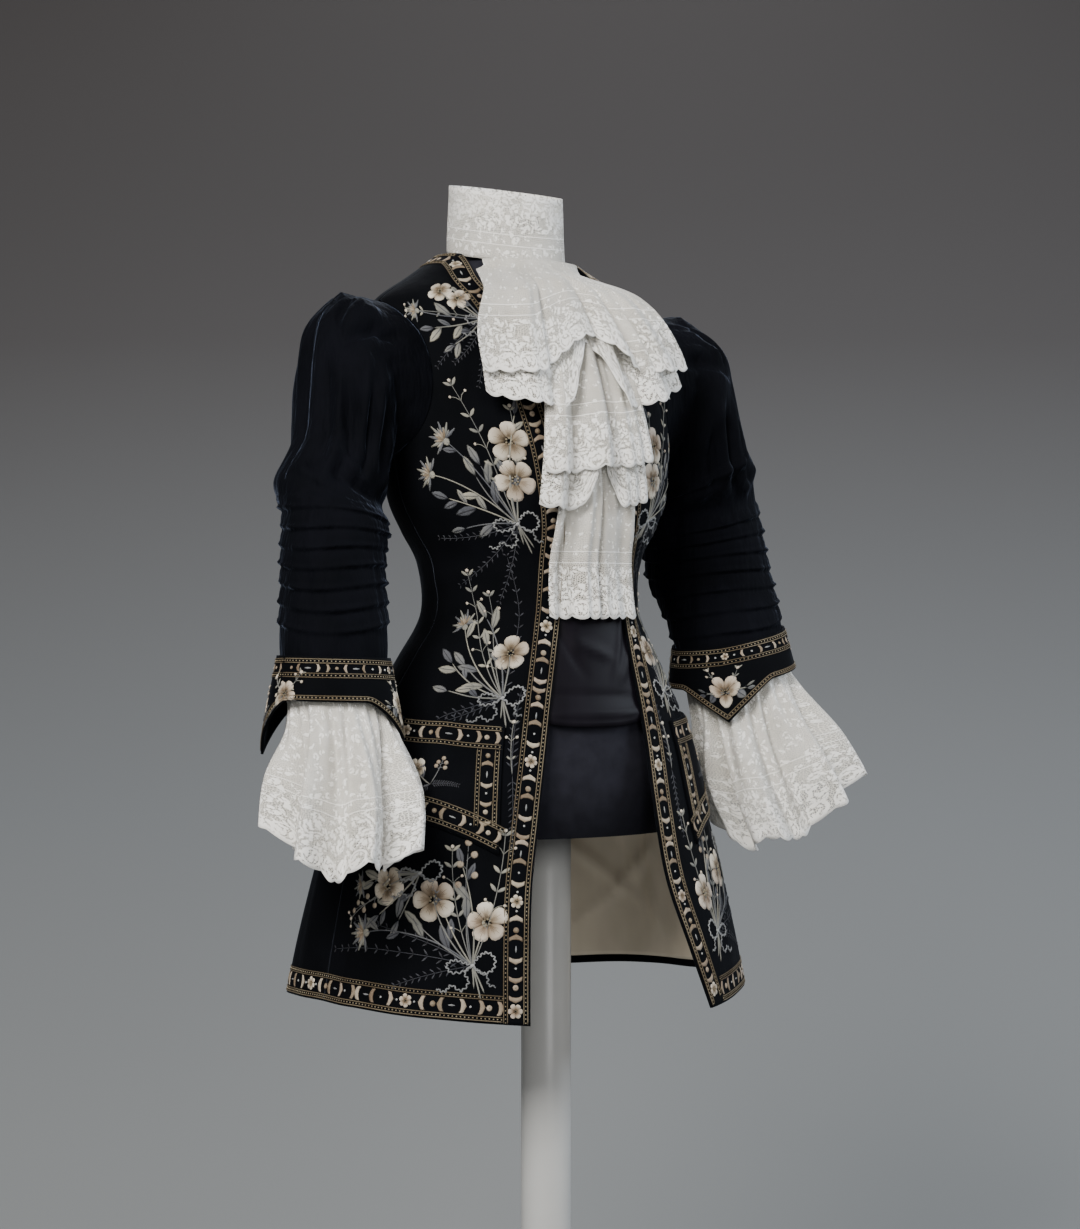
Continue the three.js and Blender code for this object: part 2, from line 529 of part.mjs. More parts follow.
for (const [word, side] of [['right', -1], ['left', 1]]) {
  add(`coat_front_${word}`, front(side), cloth(0x10141f, 0.8));
  add(`coat_back_${word}`, back(side), cloth(0x0e121c, 0.8));
  add(`sleeve_${word}`, sleeve(side), cloth(0x151b2a, 0.75));
  add(`cuff_${word}`, cuff(side), cloth(0x12161f, 0.8));
  add(`frill_${word}`, frill(side), cloth(0xe6e3d8, 0.9));
  add(`pocket_flap_${word}`, flap(side), cloth(0x10141f, 0.8));
  add(`lining_front_${word}`, liningFront(side), cloth(0x6a6152, 0.55));
  add(`lining_back_${word}`, liningBack(side), cloth(0x6a6152, 0.55));
}
add('vest_front', vest(), cloth(0x1c1a20, 0.45));
add('lace_collar', collar(), cloth(0xe8e6df, 0.9));
JABOT.forEach((tier, order) => add(tier.name, jabot(tier, order), cloth(0xe8e6df, 0.9)));
add('form_torso', torso(), cloth(0x2b2a30, 0.9));
add('form_post', post(), cloth(0xb4b4b2, 0.35));
add('form_base', base(), cloth(0xb4b4b2, 0.35));

export default coat;
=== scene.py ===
# %% [markdown]
# # A woman's velvet riding coat on a dress form
#
# The coat is cut away from neck to hem, with puffed and tucked sleeves, turned cuffs, pocket
# flaps, lace at the neck and wrists, and silk embroidery along every edge. Its solids come from
# the CAD frame. Here each soft solid gets a fine shell of its own that lies where the solid lies,
# with the folds that cloth has, and every finish is a node material.

# %% Load the fixed frame
import math
import bmesh
import bpy
import numpy as np
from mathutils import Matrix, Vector


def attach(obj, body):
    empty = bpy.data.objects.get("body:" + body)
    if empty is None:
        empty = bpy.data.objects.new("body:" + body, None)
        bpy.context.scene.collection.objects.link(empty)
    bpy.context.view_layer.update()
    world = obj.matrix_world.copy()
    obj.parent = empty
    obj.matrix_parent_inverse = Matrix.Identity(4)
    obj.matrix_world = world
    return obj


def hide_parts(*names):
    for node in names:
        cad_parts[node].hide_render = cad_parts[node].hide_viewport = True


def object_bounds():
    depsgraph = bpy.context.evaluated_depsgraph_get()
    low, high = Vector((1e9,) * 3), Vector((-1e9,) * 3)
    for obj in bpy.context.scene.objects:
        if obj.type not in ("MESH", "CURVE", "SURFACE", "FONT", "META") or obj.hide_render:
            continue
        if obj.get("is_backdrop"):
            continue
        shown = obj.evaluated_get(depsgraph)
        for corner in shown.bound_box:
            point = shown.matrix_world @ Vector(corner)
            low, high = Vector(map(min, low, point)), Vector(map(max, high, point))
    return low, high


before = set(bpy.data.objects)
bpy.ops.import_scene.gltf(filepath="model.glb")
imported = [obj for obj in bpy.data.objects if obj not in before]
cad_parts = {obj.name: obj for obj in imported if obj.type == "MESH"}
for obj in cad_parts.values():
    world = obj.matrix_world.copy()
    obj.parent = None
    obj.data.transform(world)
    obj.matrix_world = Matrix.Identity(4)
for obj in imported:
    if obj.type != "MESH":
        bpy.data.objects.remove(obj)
cad_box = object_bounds()
print("CAD box", [round(x, 3) for corner in cad_box for x in corner])

# %% [markdown]
# ## Camera
#
# The coat is seen at the height of its waist, from its right front, with a long lens so that the
# hem and the collar keep their true proportions. The camera is level, so upright lines stay so.

# %% Camera
CAMERA_DISTANCE = 3.0
CAMERA_HEIGHT = 0.990
CAMERA_ASIDE = -0.006
CAMERA_TURN = math.radians(36)
LENS, SENSOR = 87.88, 36
look = Vector((math.sin(CAMERA_TURN), math.cos(CAMERA_TURN), 0))
camera = bpy.data.objects.new("camera", bpy.data.cameras.new("camera"))
bpy.context.scene.collection.objects.link(camera)
camera.data.sensor_fit = "VERTICAL"
camera.data.sensor_height = SENSOR
camera.data.lens = LENS
camera.location = Vector((0, 0, CAMERA_HEIGHT)) - look * CAMERA_DISTANCE
camera.location += Vector((look.y, -look.x, 0)) * CAMERA_ASIDE
camera.rotation_euler = (math.pi / 2, 0, -CAMERA_TURN)
bpy.context.scene.camera = camera
print("camera at", [round(x, 3) for x in camera.location])

# %% [markdown]
# ## Floor and light
#
# The coat stands on plain pale paper, painted darker up the wall behind it as painted shade. One
# large soft lamp stands high at the left, a weaker one at the right lifts the far sleeve, a third
# fills from the front, and one high behind draws a faint edge on the nap of the velvet.

# %% Surround and lamps
SURROUND = (0.24, 0.24, 0.25, 1)
LAMPS = {   # place, size, watts, colour
    "key": ((-3.0, -1.9, 3.1), 1.5, 235, (1.0, 0.98, 0.95)),
    "right": ((2.9, -1.5, 2.3), 1.5, 92, (0.80, 0.89, 1.0)),
    "front": ((-1.2, -3.9, 2.2), 1.8, 48, (1.0, 0.99, 0.97)),
    "back": ((1.6, 2.0, 3.0), 1.4, 50, (0.9, 0.95, 1.0)),
}
LAMP_AIM = Vector((0, 0, 1.0))
world = bpy.data.worlds.new("surround")
world.use_nodes = True
world.node_tree.nodes["Background"].inputs["Color"].default_value = SURROUND
world.node_tree.nodes["Background"].inputs["Strength"].default_value = 1.0
bpy.context.scene.world = world
for name, (place, size, watts, colour) in LAMPS.items():
    lamp = bpy.data.objects.new("lamp_" + name, bpy.data.lights.new(name, "AREA"))
    lamp.data.size = size
    lamp.data.energy = watts
    lamp.data.color = colour
    lamp.location = place
    lamp.rotation_euler = (LAMP_AIM - lamp.location).to_track_quat("-Z", "Y").to_euler()
    bpy.context.scene.collection.objects.link(lamp)
print(len(LAMPS), "lamps")

# %% [markdown]
# ## Finishes
#
# Each finish starts from one shader. Small helpers add the nodes, so that a finish reads as a
# list of what it has: its colours, their scale, and the relief of weave, nap or stitches.

# %% Node helpers
def linear(code):
    """A colour written as a web code, as linear light."""
    parts = [int(code[i:i + 2], 16) / 255 for i in (1, 3, 5)]
    return (*[p / 12.92 if p < 0.04045 else ((p + 0.055) / 1.055) ** 2.4 for p in parts], 1)


class Finish:
    """A node material with one shader; add() places a node and links it."""

    def __init__(self, name, **sockets):
        self.material = bpy.data.materials.new(name)
        self.material.use_nodes = True
        self.tree = self.material.node_tree
        self.shader = self.tree.nodes["Principled BSDF"]
        self.put(self.shader, sockets)

    def put(self, node, sockets):
        for key, value in sockets.items():
            socket = node.inputs[int(key[1:]) if key[0] == "_" else key.replace("_", " ")]
            if isinstance(value, bpy.types.NodeSocket):
                self.tree.links.new(value, socket)
            else:
                socket.default_value = value

    def add(self, kind, props=None, **sockets):
        node = self.tree.nodes.new("ShaderNode" + kind)
        for key, value in (props or {}).items():
            setattr(node, key, value)
        self.put(node, sockets)
        return node

    def noise(self, vector, scale, detail=4.0, rough=0.55):
        return self.add("TexNoise", Vector=vector, Scale=scale, Detail=detail, Roughness=rough).outputs[0]

    def math(self, kind, a, b=0.0, c=0.0):
        return self.add("Math", {"operation": kind}, _0=a, _1=b, _2=c).outputs[0]

    def fade(self, value, near, far, at_near, at_far):
        """A soft step from one amount at near to another at far."""
        return self.add("MapRange", {"interpolation_type": "SMOOTHSTEP"}, Value=value, _1=near,
                        _2=far, _3=at_near, _4=at_far).outputs[0]

    def ramp(self, value, stops):
        node = self.add("ValToRGB", Fac=value)
        marks = node.color_ramp.elements
        while len(marks) < len(stops):
            marks.new(0.5)
        for mark, (place, colour) in zip(marks, stops):
            mark.position = place
            mark.color = linear(colour) if isinstance(colour, str) else (colour, colour, colour, 1)
        return node.outputs[0]

    def relief(self, height, distance, strength=1.0, normal=None):
        node = self.add("Bump", Height=height, Distance=distance, Strength=strength)
        if normal is not None:
            self.put(node, {"Normal": normal})
        return node.outputs[0]


def spot(finish, kind="Object"):
    """Where a material reads its pattern: the piece's own frame, or its cut (UV, in metres)."""
    return finish.add("TexCoord").outputs[kind]


# %% [markdown]
# ### Velvet
#
# Silk velvet is nearly black where one looks along its light, and shows a soft blue-grey bloom
# where its nap turns away. A sheen layer gives the bloom; a slow noise turns the nap a little from
# place to place, and a very fine one is the pile itself.

# %% Velvet
CRUSH, STREAK, PILE = 14.0, 46.0, 900.0      # noise waves in a metre: nap, crease marks, pile
STREAK_LONG = (1, 1, 0.22)                   # crease marks are drawn out upward


def velvet_finish(name, dark, light, bloom, sheen, creases):
    f = Finish(name, Roughness=0.85, Specular_IOR_Level=0.06, Sheen_Weight=sheen,
               Sheen_Roughness=0.26, Sheen_Tint=linear(bloom))
    where = spot(f)
    crushed = f.noise(where, CRUSH, 3.0)
    pile = f.noise(where, PILE, 2.0)
    f.put(f.shader, {"Base Color": f.ramp(crushed, [(0.3, dark), (0.7, light)])})
    drawn = f.add("Mapping", Vector=where, Scale=STREAK_LONG).outputs[0]
    streaks = f.noise(drawn, STREAK, 3.0, 0.6)
    soft = f.relief(streaks, creases, 1.0, f.relief(crushed, 0.004, 0.35))
    f.put(f.shader, {"Normal": f.relief(pile, 0.0005, 0.5, soft)})
    return f.material


velvet = velvet_finish("velvet", "#030406", "#07080c", "#8d97ac", 0.11, 0.0010)
sleeve_velvet = velvet_finish("sleeve_velvet", "#030407", "#090a10", "#8290ad", 0.22, 0.0060)
print("velvet finish made")

# %% [markdown]
# ### Satin, cotton and enamel
#
# The lining and the vest front are satin: a very fine twill that catches light in long soft
# streaks. The form wears plain cotton, and its post is sprayed with satin enamel.

# %% Satin, cotton, enamel
TWILL, SLUB, WEAVE, PEEL = 900.0, 9.0, 420.0, 420.0      # waves in a metre


def satin_finish(name, dark, light, rough, shine):
    f = Finish(name, Roughness=rough, Specular_IOR_Level=shine)
    cut = spot(f, "UV")
    threads = f.add("TexWave", {"bands_direction": "DIAGONAL"}, Vector=cut, Scale=TWILL,
                    Distortion=0.4).outputs[1]
    slubs = f.noise(f.add("Mapping", Vector=cut, Scale=(3, 1, 1)).outputs[0], SLUB, 2.0)
    f.put(f.shader, {"Base Color": f.ramp(slubs, [(0.3, dark), (0.7, light)])})
    f.put(f.shader, {"Roughness": f.math("MULTIPLY_ADD", slubs, 0.18, rough - 0.09)})
    f.put(f.shader, {"Normal": f.relief(threads, 0.0001, 0.12)})
    return f.material


def cotton_finish(name, dark, light):
    f = Finish(name, Roughness=0.9, Specular_IOR_Level=0.15)
    where = spot(f)
    weave = f.add("TexWave", {"bands_direction": "Z"}, Vector=where, Scale=WEAVE).outputs[1]
    across = f.add("TexWave", {"bands_direction": "X"}, Vector=where, Scale=WEAVE).outputs[1]
    f.put(f.shader, {"Base Color": f.ramp(f.noise(where, 60.0), [(0.3, dark), (0.7, light)])})
    f.put(f.shader, {"Normal": f.relief(f.math("ADD", weave, across), 0.0004, 0.4)})
    return f.material


def enamel_finish(name, dark, light):
    f = Finish(name, Coat_Weight=0.25, Coat_Roughness=0.2)
    where = spot(f)
    f.put(f.shader, {"Base Color": f.ramp(f.noise(where, 5.0), [(0.3, dark), (0.7, light)])})
    orange_peel = f.noise(where, PEEL, 2.0)
    f.put(f.shader, {"Roughness": f.math("MULTIPLY_ADD", f.noise(where, 30.0), 0.16, 0.28)})
    f.put(f.shader, {"Normal": f.relief(orange_peel, 0.0004, 0.12)})
    return f.material


vest_satin = satin_finish("vest_satin", "#0c0a0f", "#151218", 0.50, 0.08)
lining_satin = satin_finish("lining_satin", "#b9ad99", "#c9bda9", 0.42, 0.30)
form_cotton = cotton_finish("form_cotton", "#1b1b22", "#24242c")
post_enamel = enamel_finish("post_enamel", "#a9a9a7", "#b9b9b6")
print("satin, cotton and enamel made")

# %% [markdown]
# ### Lace
#
# Machine net with darned motifs: a ground of fine meshes, sprigs scattered over it, two drawn
# insertion lines, then motifs that grow dense towards the edge, and one ring to each scallop. The
# cut's own UV is in metres, with v measured up from the edge, so the pattern follows the edge
# round every ruffle. Away from the edge a thin haze between the meshes stands for the finest net.

# %% Lace
MM = 0.001
SCALLOP, SCALLOP_DEEP = 17.0, 3.2      # one scallop, in millimetres: wide, deep
LACE_MESH, LACE_SPRIG, LACE_PETAL = 560.0, 112.0, 310.0      # cells in a metre
LACE_SELVAGE, LACE_LINES, LACE_LINE_HALF = 0.0020, (0.052, 0.063), 0.0005
LACE_RING, LACE_RING_HALF, LACE_HEART = 0.37, 0.05, 0.27     # radii in parts of a scallop


def lace_finish(name, light, shade, dense):
    """dense says how much of the ground away from the edge the sprigs cover."""
    f = Finish(name, Roughness=0.75, Specular_IOR_Level=0.25, Sheen_Weight=0.2)
    cut = spot(f, "UV")
    parts = f.add("SeparateXYZ", Vector=cut)
    u, v = parts.outputs[0], parts.outputs[1]
    net = f.add("TexVoronoi", {"feature": "DISTANCE_TO_EDGE", "voronoi_dimensions": "2D"},
                Vector=cut, Scale=LACE_MESH).outputs[0]
    threads = f.math("LESS_THAN", net, 0.14)
    drift = f.add("TexNoise", Vector=cut, Scale=90.0, Detail=2.0).outputs[1]
    bent = f.add("MixRGB", {"blend_type": "LINEAR_LIGHT"}, Fac=0.006, Color1=cut,
                 Color2=drift).outputs[0]
    sprig, petals = (f.add("TexVoronoi", {"voronoi_dimensions": "2D"}, Vector=bent,
                           Scale=scale).outputs[0] for scale in (LACE_SPRIG, LACE_PETAL))
    near_edge = f.fade(v, 0.030, 0.062, 0.58, dense)
    flowers = f.math("MULTIPLY", f.math("LESS_THAN", sprig, near_edge),
                     f.math("LESS_THAN", petals, 0.46))
    # one ring to each scallop, in one row at the edge
    ring_step = SCALLOP * MM
    in_step, up_step = (f.math("SUBTRACT", f.math("FRACT", f.math("DIVIDE", x, ring_step)), 0.5)
                        for x in (u, v))
    away = f.math("SQRT", f.math("ADD", f.math("MULTIPLY", in_step, in_step),
                                 f.math("MULTIPLY", up_step, up_step)))
    rings = f.math("COMPARE", away, LACE_RING, LACE_RING_HALF)
    hearts = f.math("MULTIPLY", f.math("LESS_THAN", away, LACE_HEART),
                    f.math("LESS_THAN", petals, 0.5))
    edge = f.math("LESS_THAN", v, ring_step)
    border = f.math("MULTIPLY", edge, f.math("MAXIMUM", rings, hearts))
    selvage = f.math("LESS_THAN", v, LACE_SELVAGE)
    lines = f.math("MAXIMUM", *(f.math("COMPARE", v, line, LACE_LINE_HALF) for line in LACE_LINES))
    work = f.math("MAXIMUM", f.math("MAXIMUM", flowers, border), f.math("MAXIMUM", selvage, lines))
    cover = f.math("MAXIMUM", work, threads)
    cloudy = f.noise(cut, 34.0, 3.0)
    tone = f.math("MULTIPLY_ADD", work, 0.40, f.math("MULTIPLY", cloudy, 0.6))
    f.put(f.shader, {"Base Color": f.ramp(tone, [(0.2, shade), (0.75, light)])})
    raised = f.math("MULTIPLY_ADD", work, 1.0, f.math("MULTIPLY", threads, 0.4))
    f.put(f.shader, {"Normal": f.relief(raised, 0.0006, 0.8)})
    ground = f.fade(v, 0.028, 0.075, 0.12, 0.50)
    f.put(f.shader, {"Alpha": f.math("MAXIMUM", cover, ground)})
    return f.material


lace = lace_finish("lace", "#fcfaf5", "#d6d1c6", 0.18)
frill_lace = lace_finish("frill_lace", "#fdfbf6", "#dbd7cd", 0.32)
print("lace finish made")

# %% [markdown]
# ### Embroidery threads
#
# Untwisted silk laid in satin stitch has a soft shine across its stitches, so each motif carries
# a fine ribbed relief in its own UV. The attribute "tone" holds one number for each motif, which
# shades it between two silks of one colour. The outlines are a gold cord.

# %% Threads
STITCHES, DYE = 2300.0, 26.0      # waves in a metre: stitches, and the patches of another dye


def thread_finish(name, tones, rough, metal, cast):
    f = Finish(name, Roughness=rough, Metallic=metal, Specular_IOR_Level=0.35)
    tone = f.add("Attribute", {"attribute_name": "tone"}).outputs["Fac"]
    cut = spot(f, "UV")
    stitches = f.add("TexWave", {"bands_direction": "DIAGONAL"}, Vector=cut, Scale=STITCHES,
                     Distortion=0.8, Detail=1.0).outputs[1]
    steps = [(i / (len(tones) - 1), code) for i, code in enumerate(tones)]
    silk = f.ramp(f.math("MULTIPLY_ADD", stitches, 0.12, tone), steps)
    dye = f.math("MULTIPLY", f.ramp(f.noise(spot(f), DYE, 2.0), [(0.42, 0.0), (0.62, 1.0)]), 0.5)
    dyed = f.add("MixRGB", {"blend_type": "MULTIPLY"}, Fac=1.0, Color1=silk,
                 Color2=linear(cast)).outputs[0]
    f.put(f.shader, {"Base Color": f.add("MixRGB", Fac=dye, Color1=silk, Color2=dyed).outputs[0]})
    f.put(f.shader, {"Normal": f.relief(stitches, 0.0003, 0.5)})
    return f.material


THREADS = {
    "gold": thread_finish("gold_cord", ["#3f372d", "#6c604c", "#a3987f"], 0.45, 0.2, "#bca996"),
    "petal": thread_finish("petal_silk", ["#4a3c2c", "#7a6a54", "#a79985", "#c9beab", "#e0d7c6"],
                           0.6, 0.0, "#d2c0bd"),
    "leaf": thread_finish("leaf_silk", ["#29272a", "#45464c", "#67686b", "#8b897f", "#b0aa97"],
                          0.6, 0.0, "#9aa4b4"),
    "ribbon": thread_finish("ribbon_silk", ["#5f6060", "#959695", "#bcbcb8"], 0.5, 0.0, "#c4c4cc"),
}
print(len(THREADS), "threads")

# %% [markdown]
# ## The coat's body as a surface
#
# Every piece of the body is cut from one surface. Rings at named levels, hem to neck, give its
# half width, half depth and height; a smooth curve runs through them. A place on it is an angle
# (0 at the front, 90 at the wearer's left, 180 at the back) and a level. Lengths are millimetres
# until a mesh is made.

# %% Sections
VELVET, SATIN, LACE = 2.4, 1.2, 1.1
SEAM_GAP, LAY_GAP = 0.3, 0.8
SECTION_KEYS = ("front", "side", "back", "wide", "deep", "mid", "edge_right", "edge_left")
SECTIONS = {
    "hem": (597, 617, 612, 241, 190, 43, 110, 112),
    "low skirt": (662, 668, 668, 231, 180, 43, 104, 86),
    "skirt": (729, 731, 731, 217, 166, 43, 94, 64),
    "full hip": (797, 797, 797, 201, 152, 42, 79, 58),
    "hip": (860, 860, 860, 184, 139, 40, 65, 56),
    "high hip": (905, 905, 905, 164, 126, 36, 54, 54),
    "below waist": (948, 948, 948, 138, 113, 31, 43, 50),
    "waist": (992, 992, 992, 114, 102, 27, 33, 48),
    "ribs": (1040, 1040, 1040, 118, 100, 29, 28, 46),
    "under bust": (1073, 1073, 1073, 137, 106, 30, 29, 43),
    "bust": (1105, 1105, 1105, 153, 110, 31, 34, 42),
    "chest": (1155, 1155, 1155, 161, 110, 34, 42, 45),
    "armhole": (1208, 1208, 1208, 165, 104, 41, 52, 52),
    "yoke": (1258, 1260, 1262, 167, 92, 48, 60, 60),
    "shoulder": (1294, 1297, 1304, 163, 80, 56, 68, 68),
    "slope": (1318, 1328, 1334, 115, 68, 64, 74, 74),
    "neck": (1334, 1353, 1362, 72, 60, 70, 68, 67),
}
TOP_LEVEL = len(SECTIONS) - 1
FLUTES = (   # angle, half width in degrees, depth at the hem
    (62, 17, 5), (96, 14, -7), (122, 15, 9), (146, 13, -6), (166, 13, 7),
    (-58, 18, 6), (-92, 15, -6), (-118, 14, 8), (-143, 15, -7), (-165, 12, 6),
)
FLUTES_FROM = 6.2


def smooth(x):
    x = np.clip(x, 0, 1)
    return x * x * (3 - 2 * x)


def mix(a, b, t):
    return a + (b - a) * t


def spline(values, level):
    """The smooth run through evenly spaced values, at a level from 0 to the last one."""
    values = np.asarray(values, float)
    last = len(values) - 1
    level = np.clip(level, 0, last)
    low = np.minimum(np.floor(level).astype(int), last - 1)
    t = level - low
    p0, p1, p2, p3 = (values[np.clip(low + k, 0, last)] for k in (-1, 0, 1, 2))
    v0, v1 = (p2 - p0) / 2, (p3 - p1) / 2
    return ((2 * (p1 - p2) + v0 + v1) * t + (-3 * (p1 - p2) - 2 * v0 - v1)) * t * t + v0 * t + p1


def section(key, level):
    at = SECTION_KEYS.index(key)
    return spline([row[at] for row in SECTIONS.values()], level)


def ring(angle, level, plain=False):
    """Points of the body's outer face; plain leaves out the skirt's flutes."""
    turn = np.radians(angle)
    ahead, behind = np.maximum(0, np.cos(turn)) ** 2, np.maximum(0, -np.cos(turn)) ** 2
    side = section("side", level)
    height = side + (section("front", level) - side) * ahead + (section("back", level) - side) * behind
    swell = 0 * height
    if not plain:
        fall = smooth((FLUTES_FROM - level) / FLUTES_FROM)
        for at, half, deep in FLUTES:
            near = np.minimum(1, np.abs(angle - at) / half)
            swell = swell + deep * fall * 0.5 * (1 + np.cos(np.pi * near))
    x = (section("wide", level) + swell) * np.sin(turn)
    y = section("mid", level) - (section("deep", level) + swell) * np.cos(turn)
    return np.stack([x, y, height], -1)


def normals(face, p, q, reach, last):
    """Unit normals of a face at places p, q, by small steps that stay on it."""
    along = face(p + reach[0], q) - face(p - reach[0], q)
    up = face(p, np.minimum(q + reach[1], last)) - face(p, np.maximum(q - reach[1], 0))
    out = np.cross(along, up)
    return out / np.linalg.norm(out, axis=-1, keepdims=True)


BODY_REACH = (0.72, 0.032)


def body(angle, level, out=0.0, plain=False):
    """The body's outer face, moved out along its normal."""
    angle, level = np.broadcast_arrays(np.asarray(angle, float), np.asarray(level, float))
    face = lambda p, q: ring(p, q, plain)
    outward = normals(face, angle, level, BODY_REACH, TOP_LEVEL)
    return ring(angle, level, plain) + outward * np.broadcast_to(out, level.shape)[..., None]


print("body from", body(0, 0).round(), "to", body(0, TOP_LEVEL).round())

# %% [markdown]
# ## Folds laid one by one
#
# Cloth that hangs over a form has a few main folds, each with a place, a direction and a length.
# A fold here is a line between two places of the surface, with a width and a height that fade at
# its ends. The main folds are placed one by one, and they differ from left to right.

# %% Folds
BODY_SCALE = (2.7, 48.0)     # millimetres for a degree and for a level, near enough
FOLD_START, FOLD_END, FOLD_PAST = 0.28, 0.4, 1.12   # parts of a fold's length over which it fades
COAT_FOLDS = (               # from angle, level; to angle, level; half width, height
    (-58, 6.6, -52, 0.2, 13, 3.2), (-44, 2.6, -41, 0.0, 10, -1.8), (-80, 5.2, -84, 0.1, 12, -2.6),
    (-105, 5.6, -106, 0.1, 13, 3.2), (-131, 5.4, -133, 0.1, 12, -3.0), (-152, 5.8, -155, 0.1, 12, 2.6),
    (52, 6.2, 47, 0.2, 12, 2.6), (78, 5.4, 82, 0.1, 13, -3.0), (109, 5.6, 110, 0.1, 12, 2.8),
    (134, 5.2, 135, 0.1, 13, -2.6), (156, 5.6, 158, 0.1, 12, 3.0),
    (-30, 7.3, -95, 6.6, 9, -1.3), (28, 7.2, 90, 6.7, 9, -1.2), (-50, 7.9, -110, 7.5, 8, 1.2),
    (60, 8.0, 112, 7.4, 8, 1.2), (120, 7.1, 178, 7.4, 9, 1.1), (-122, 7.3, -178, 7.0, 9, 1.1),
    (-34, 13.6, -50, 11.2, 9, -1.2), (-52, 11.0, -62, 12.9, 10, 1.4), (36, 13.4, 52, 11.3, 9, -1.2),
    (50, 11.1, 60, 12.8, 10, 1.4), (130, 13.5, 122, 11.0, 10, 1.4), (-132, 13.4, -123, 11.1, 10, 1.3),
)


def folded(p, q, folds, scale):
    """How far the cloth stands out at p, q, from a table of folds."""
    out = np.zeros(np.broadcast(p, q).shape)
    for p0, q0, p1, q1, half, height in folds:
        ax, ay = (p - p0) * scale[0], (q - q0) * scale[1]
        bx, by = (p1 - p0) * scale[0], (q1 - q0) * scale[1]
        span = math.hypot(bx, by)
        t = (ax * bx + ay * by) / span ** 2
        off = (ax * by - ay * bx) / span
        fade = smooth(t / FOLD_START + 0.25 * (abs(q0) < 0.3)) * smooth((FOLD_PAST - t) / FOLD_END)
        out = out + height * fade * np.exp(-(off / half) ** 2)
    return out


def coat(angle, level, out=0.0):
    """The velvet's outer face with its folds."""
    return body(angle, level, out + folded(angle, level, COAT_FOLDS, BODY_SCALE))


# %% [markdown]
# ## From a surface to a piece of cloth
#
# Every piece starts as a flat square net from one bmesh operator. Its corners run from 0 to 1
# both ways, and the piece's own face bends it into place. The net's flat measure stays as its UV,
# in metres of cloth, so weave and lace keep their size. A round piece is welded where it meets
# itself. Solidify gives the cloth its thickness on the inside.

# %% Nets and cloth
def mesh_of(name, bm):
    """A finished net as a mesh."""
    mesh = bpy.data.meshes.new(name)
    bm.to_mesh(mesh)
    bm.free()
    return mesh


def put_uv(mesh, uv):
    """Gives each vertex its place on the flat cut."""
    corners = np.zeros(len(mesh.loops), int)
    mesh.loops.foreach_get("vertex_index", corners)
    mesh.uv_layers.new(name="cut").data.foreach_set("uv", uv[corners].ravel())


def link(name, mesh, finish):
    """A finished mesh as a piece that rides on the frame."""
    mesh.polygons.foreach_set("use_smooth", [True] * len(mesh.polygons))
    piece = bpy.data.objects.new(name, mesh)
    bpy.context.scene.collection.objects.link(piece)
    piece.data.materials.append(finish)
    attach(piece, "root")
    return piece


def cloth(name, face, columns, rows, thick, flat, finish, round_piece=False, turned=False,
          flip_v=0.0):
    """One piece of cloth over face(u, v), which gives millimetres."""
    bm = bmesh.new()
    bmesh.ops.create_grid(bm, x_segments=columns, y_segments=rows, size=0.5)
    uv = np.array([vert.co[:2] for vert in bm.verts]) + 0.5
    points = face(uv[:, 0], uv[:, 1]) * MM
    for vert, point in zip(bm.verts, points):
        vert.co = point
    if turned:
        bmesh.ops.reverse_faces(bm, faces=bm.faces[:])
    mesh = mesh_of(name, bm)
    measured = uv * flat
    if flip_v:
        measured[:, 1] = flip_v - measured[:, 1]
    put_uv(mesh, measured)
    if round_piece:
        bm = bmesh.new()
        bm.from_mesh(mesh)
        bmesh.ops.remove_doubles(bm, verts=bm.verts[:], dist=1e-6)
        bm.to_mesh(mesh)
        bm.free()
    piece = link(name, mesh, finish)
    wall = piece.modifiers.new("thickness", "SOLIDIFY")
    wall.thickness = thick * MM
    wall.offset = -1
    area = sum(polygon.area for polygon in mesh.polygons)
    print(name, len(mesh.polygons), "faces,", round(area, 4), "square metres")
    return piece


# %% [markdown]
# ## Fronts and backs
#
# A front runs from its free edge to the side seam, a back from the side seam to the middle of the
# back, where the seam opens into a vent. Both follow the round armhole at the side. The same face
# serves either side of the body; a mirrored piece only swaps its two edges.

# %% Panels
ARMHOLE_LOW, ARMHOLE_TOP, ARMHOLE_ANGLE = 10.9, 14.0, 31
ARMHOLE_MID, ARMHOLE_HALF = (ARMHOLE_LOW + ARMHOLE_TOP) / 2, (ARMHOLE_TOP - ARMHOLE_LOW) / 2
VENT_TOP, VENT_ANGLE = 6.6, 2.2
SIDES = (("right", -1), ("left", 1))


def edge_angle(key, level):
    return np.degrees(np.arcsin(np.minimum(0.97, section(key, level) / section("wide", level))))


def front_edge(side, level):
    return edge_angle("edge_right" if side < 0 else "edge_left", level)


def seam_angle(level):
    return np.degrees(SEAM_GAP / 2 / section("deep", level))


def armhole_angle(level):
    away = np.minimum(1, np.abs(level - ARMHOLE_MID) / ARMHOLE_HALF)
    return ARMHOLE_ANGLE * np.sqrt(1 - away * away)


def side_seam(level):
    return 90 - armhole_angle(level) - seam_angle(level)


def back_seam(level):
    return 90 + armhole_angle(level) + seam_angle(level)


def vent_edge(level):
    return 180 - seam_angle(level) - VENT_ANGLE * smooth((VENT_TOP - level) / VENT_TOP)


def between(side, near, far, u, level):
    """The angle at u between two edges of a panel, each an angle that depends on the level."""
    return side * mix(near(level), far(level), u if side > 0 else 1 - u)


def panel(side, near, far):
    """A face of the coat between two edges, from hem to neck."""
    def face(u, v):
        level = mix(0.0, TOP_LEVEL, v)
        return coat(between(side, near, far, u, level), level)
    return face


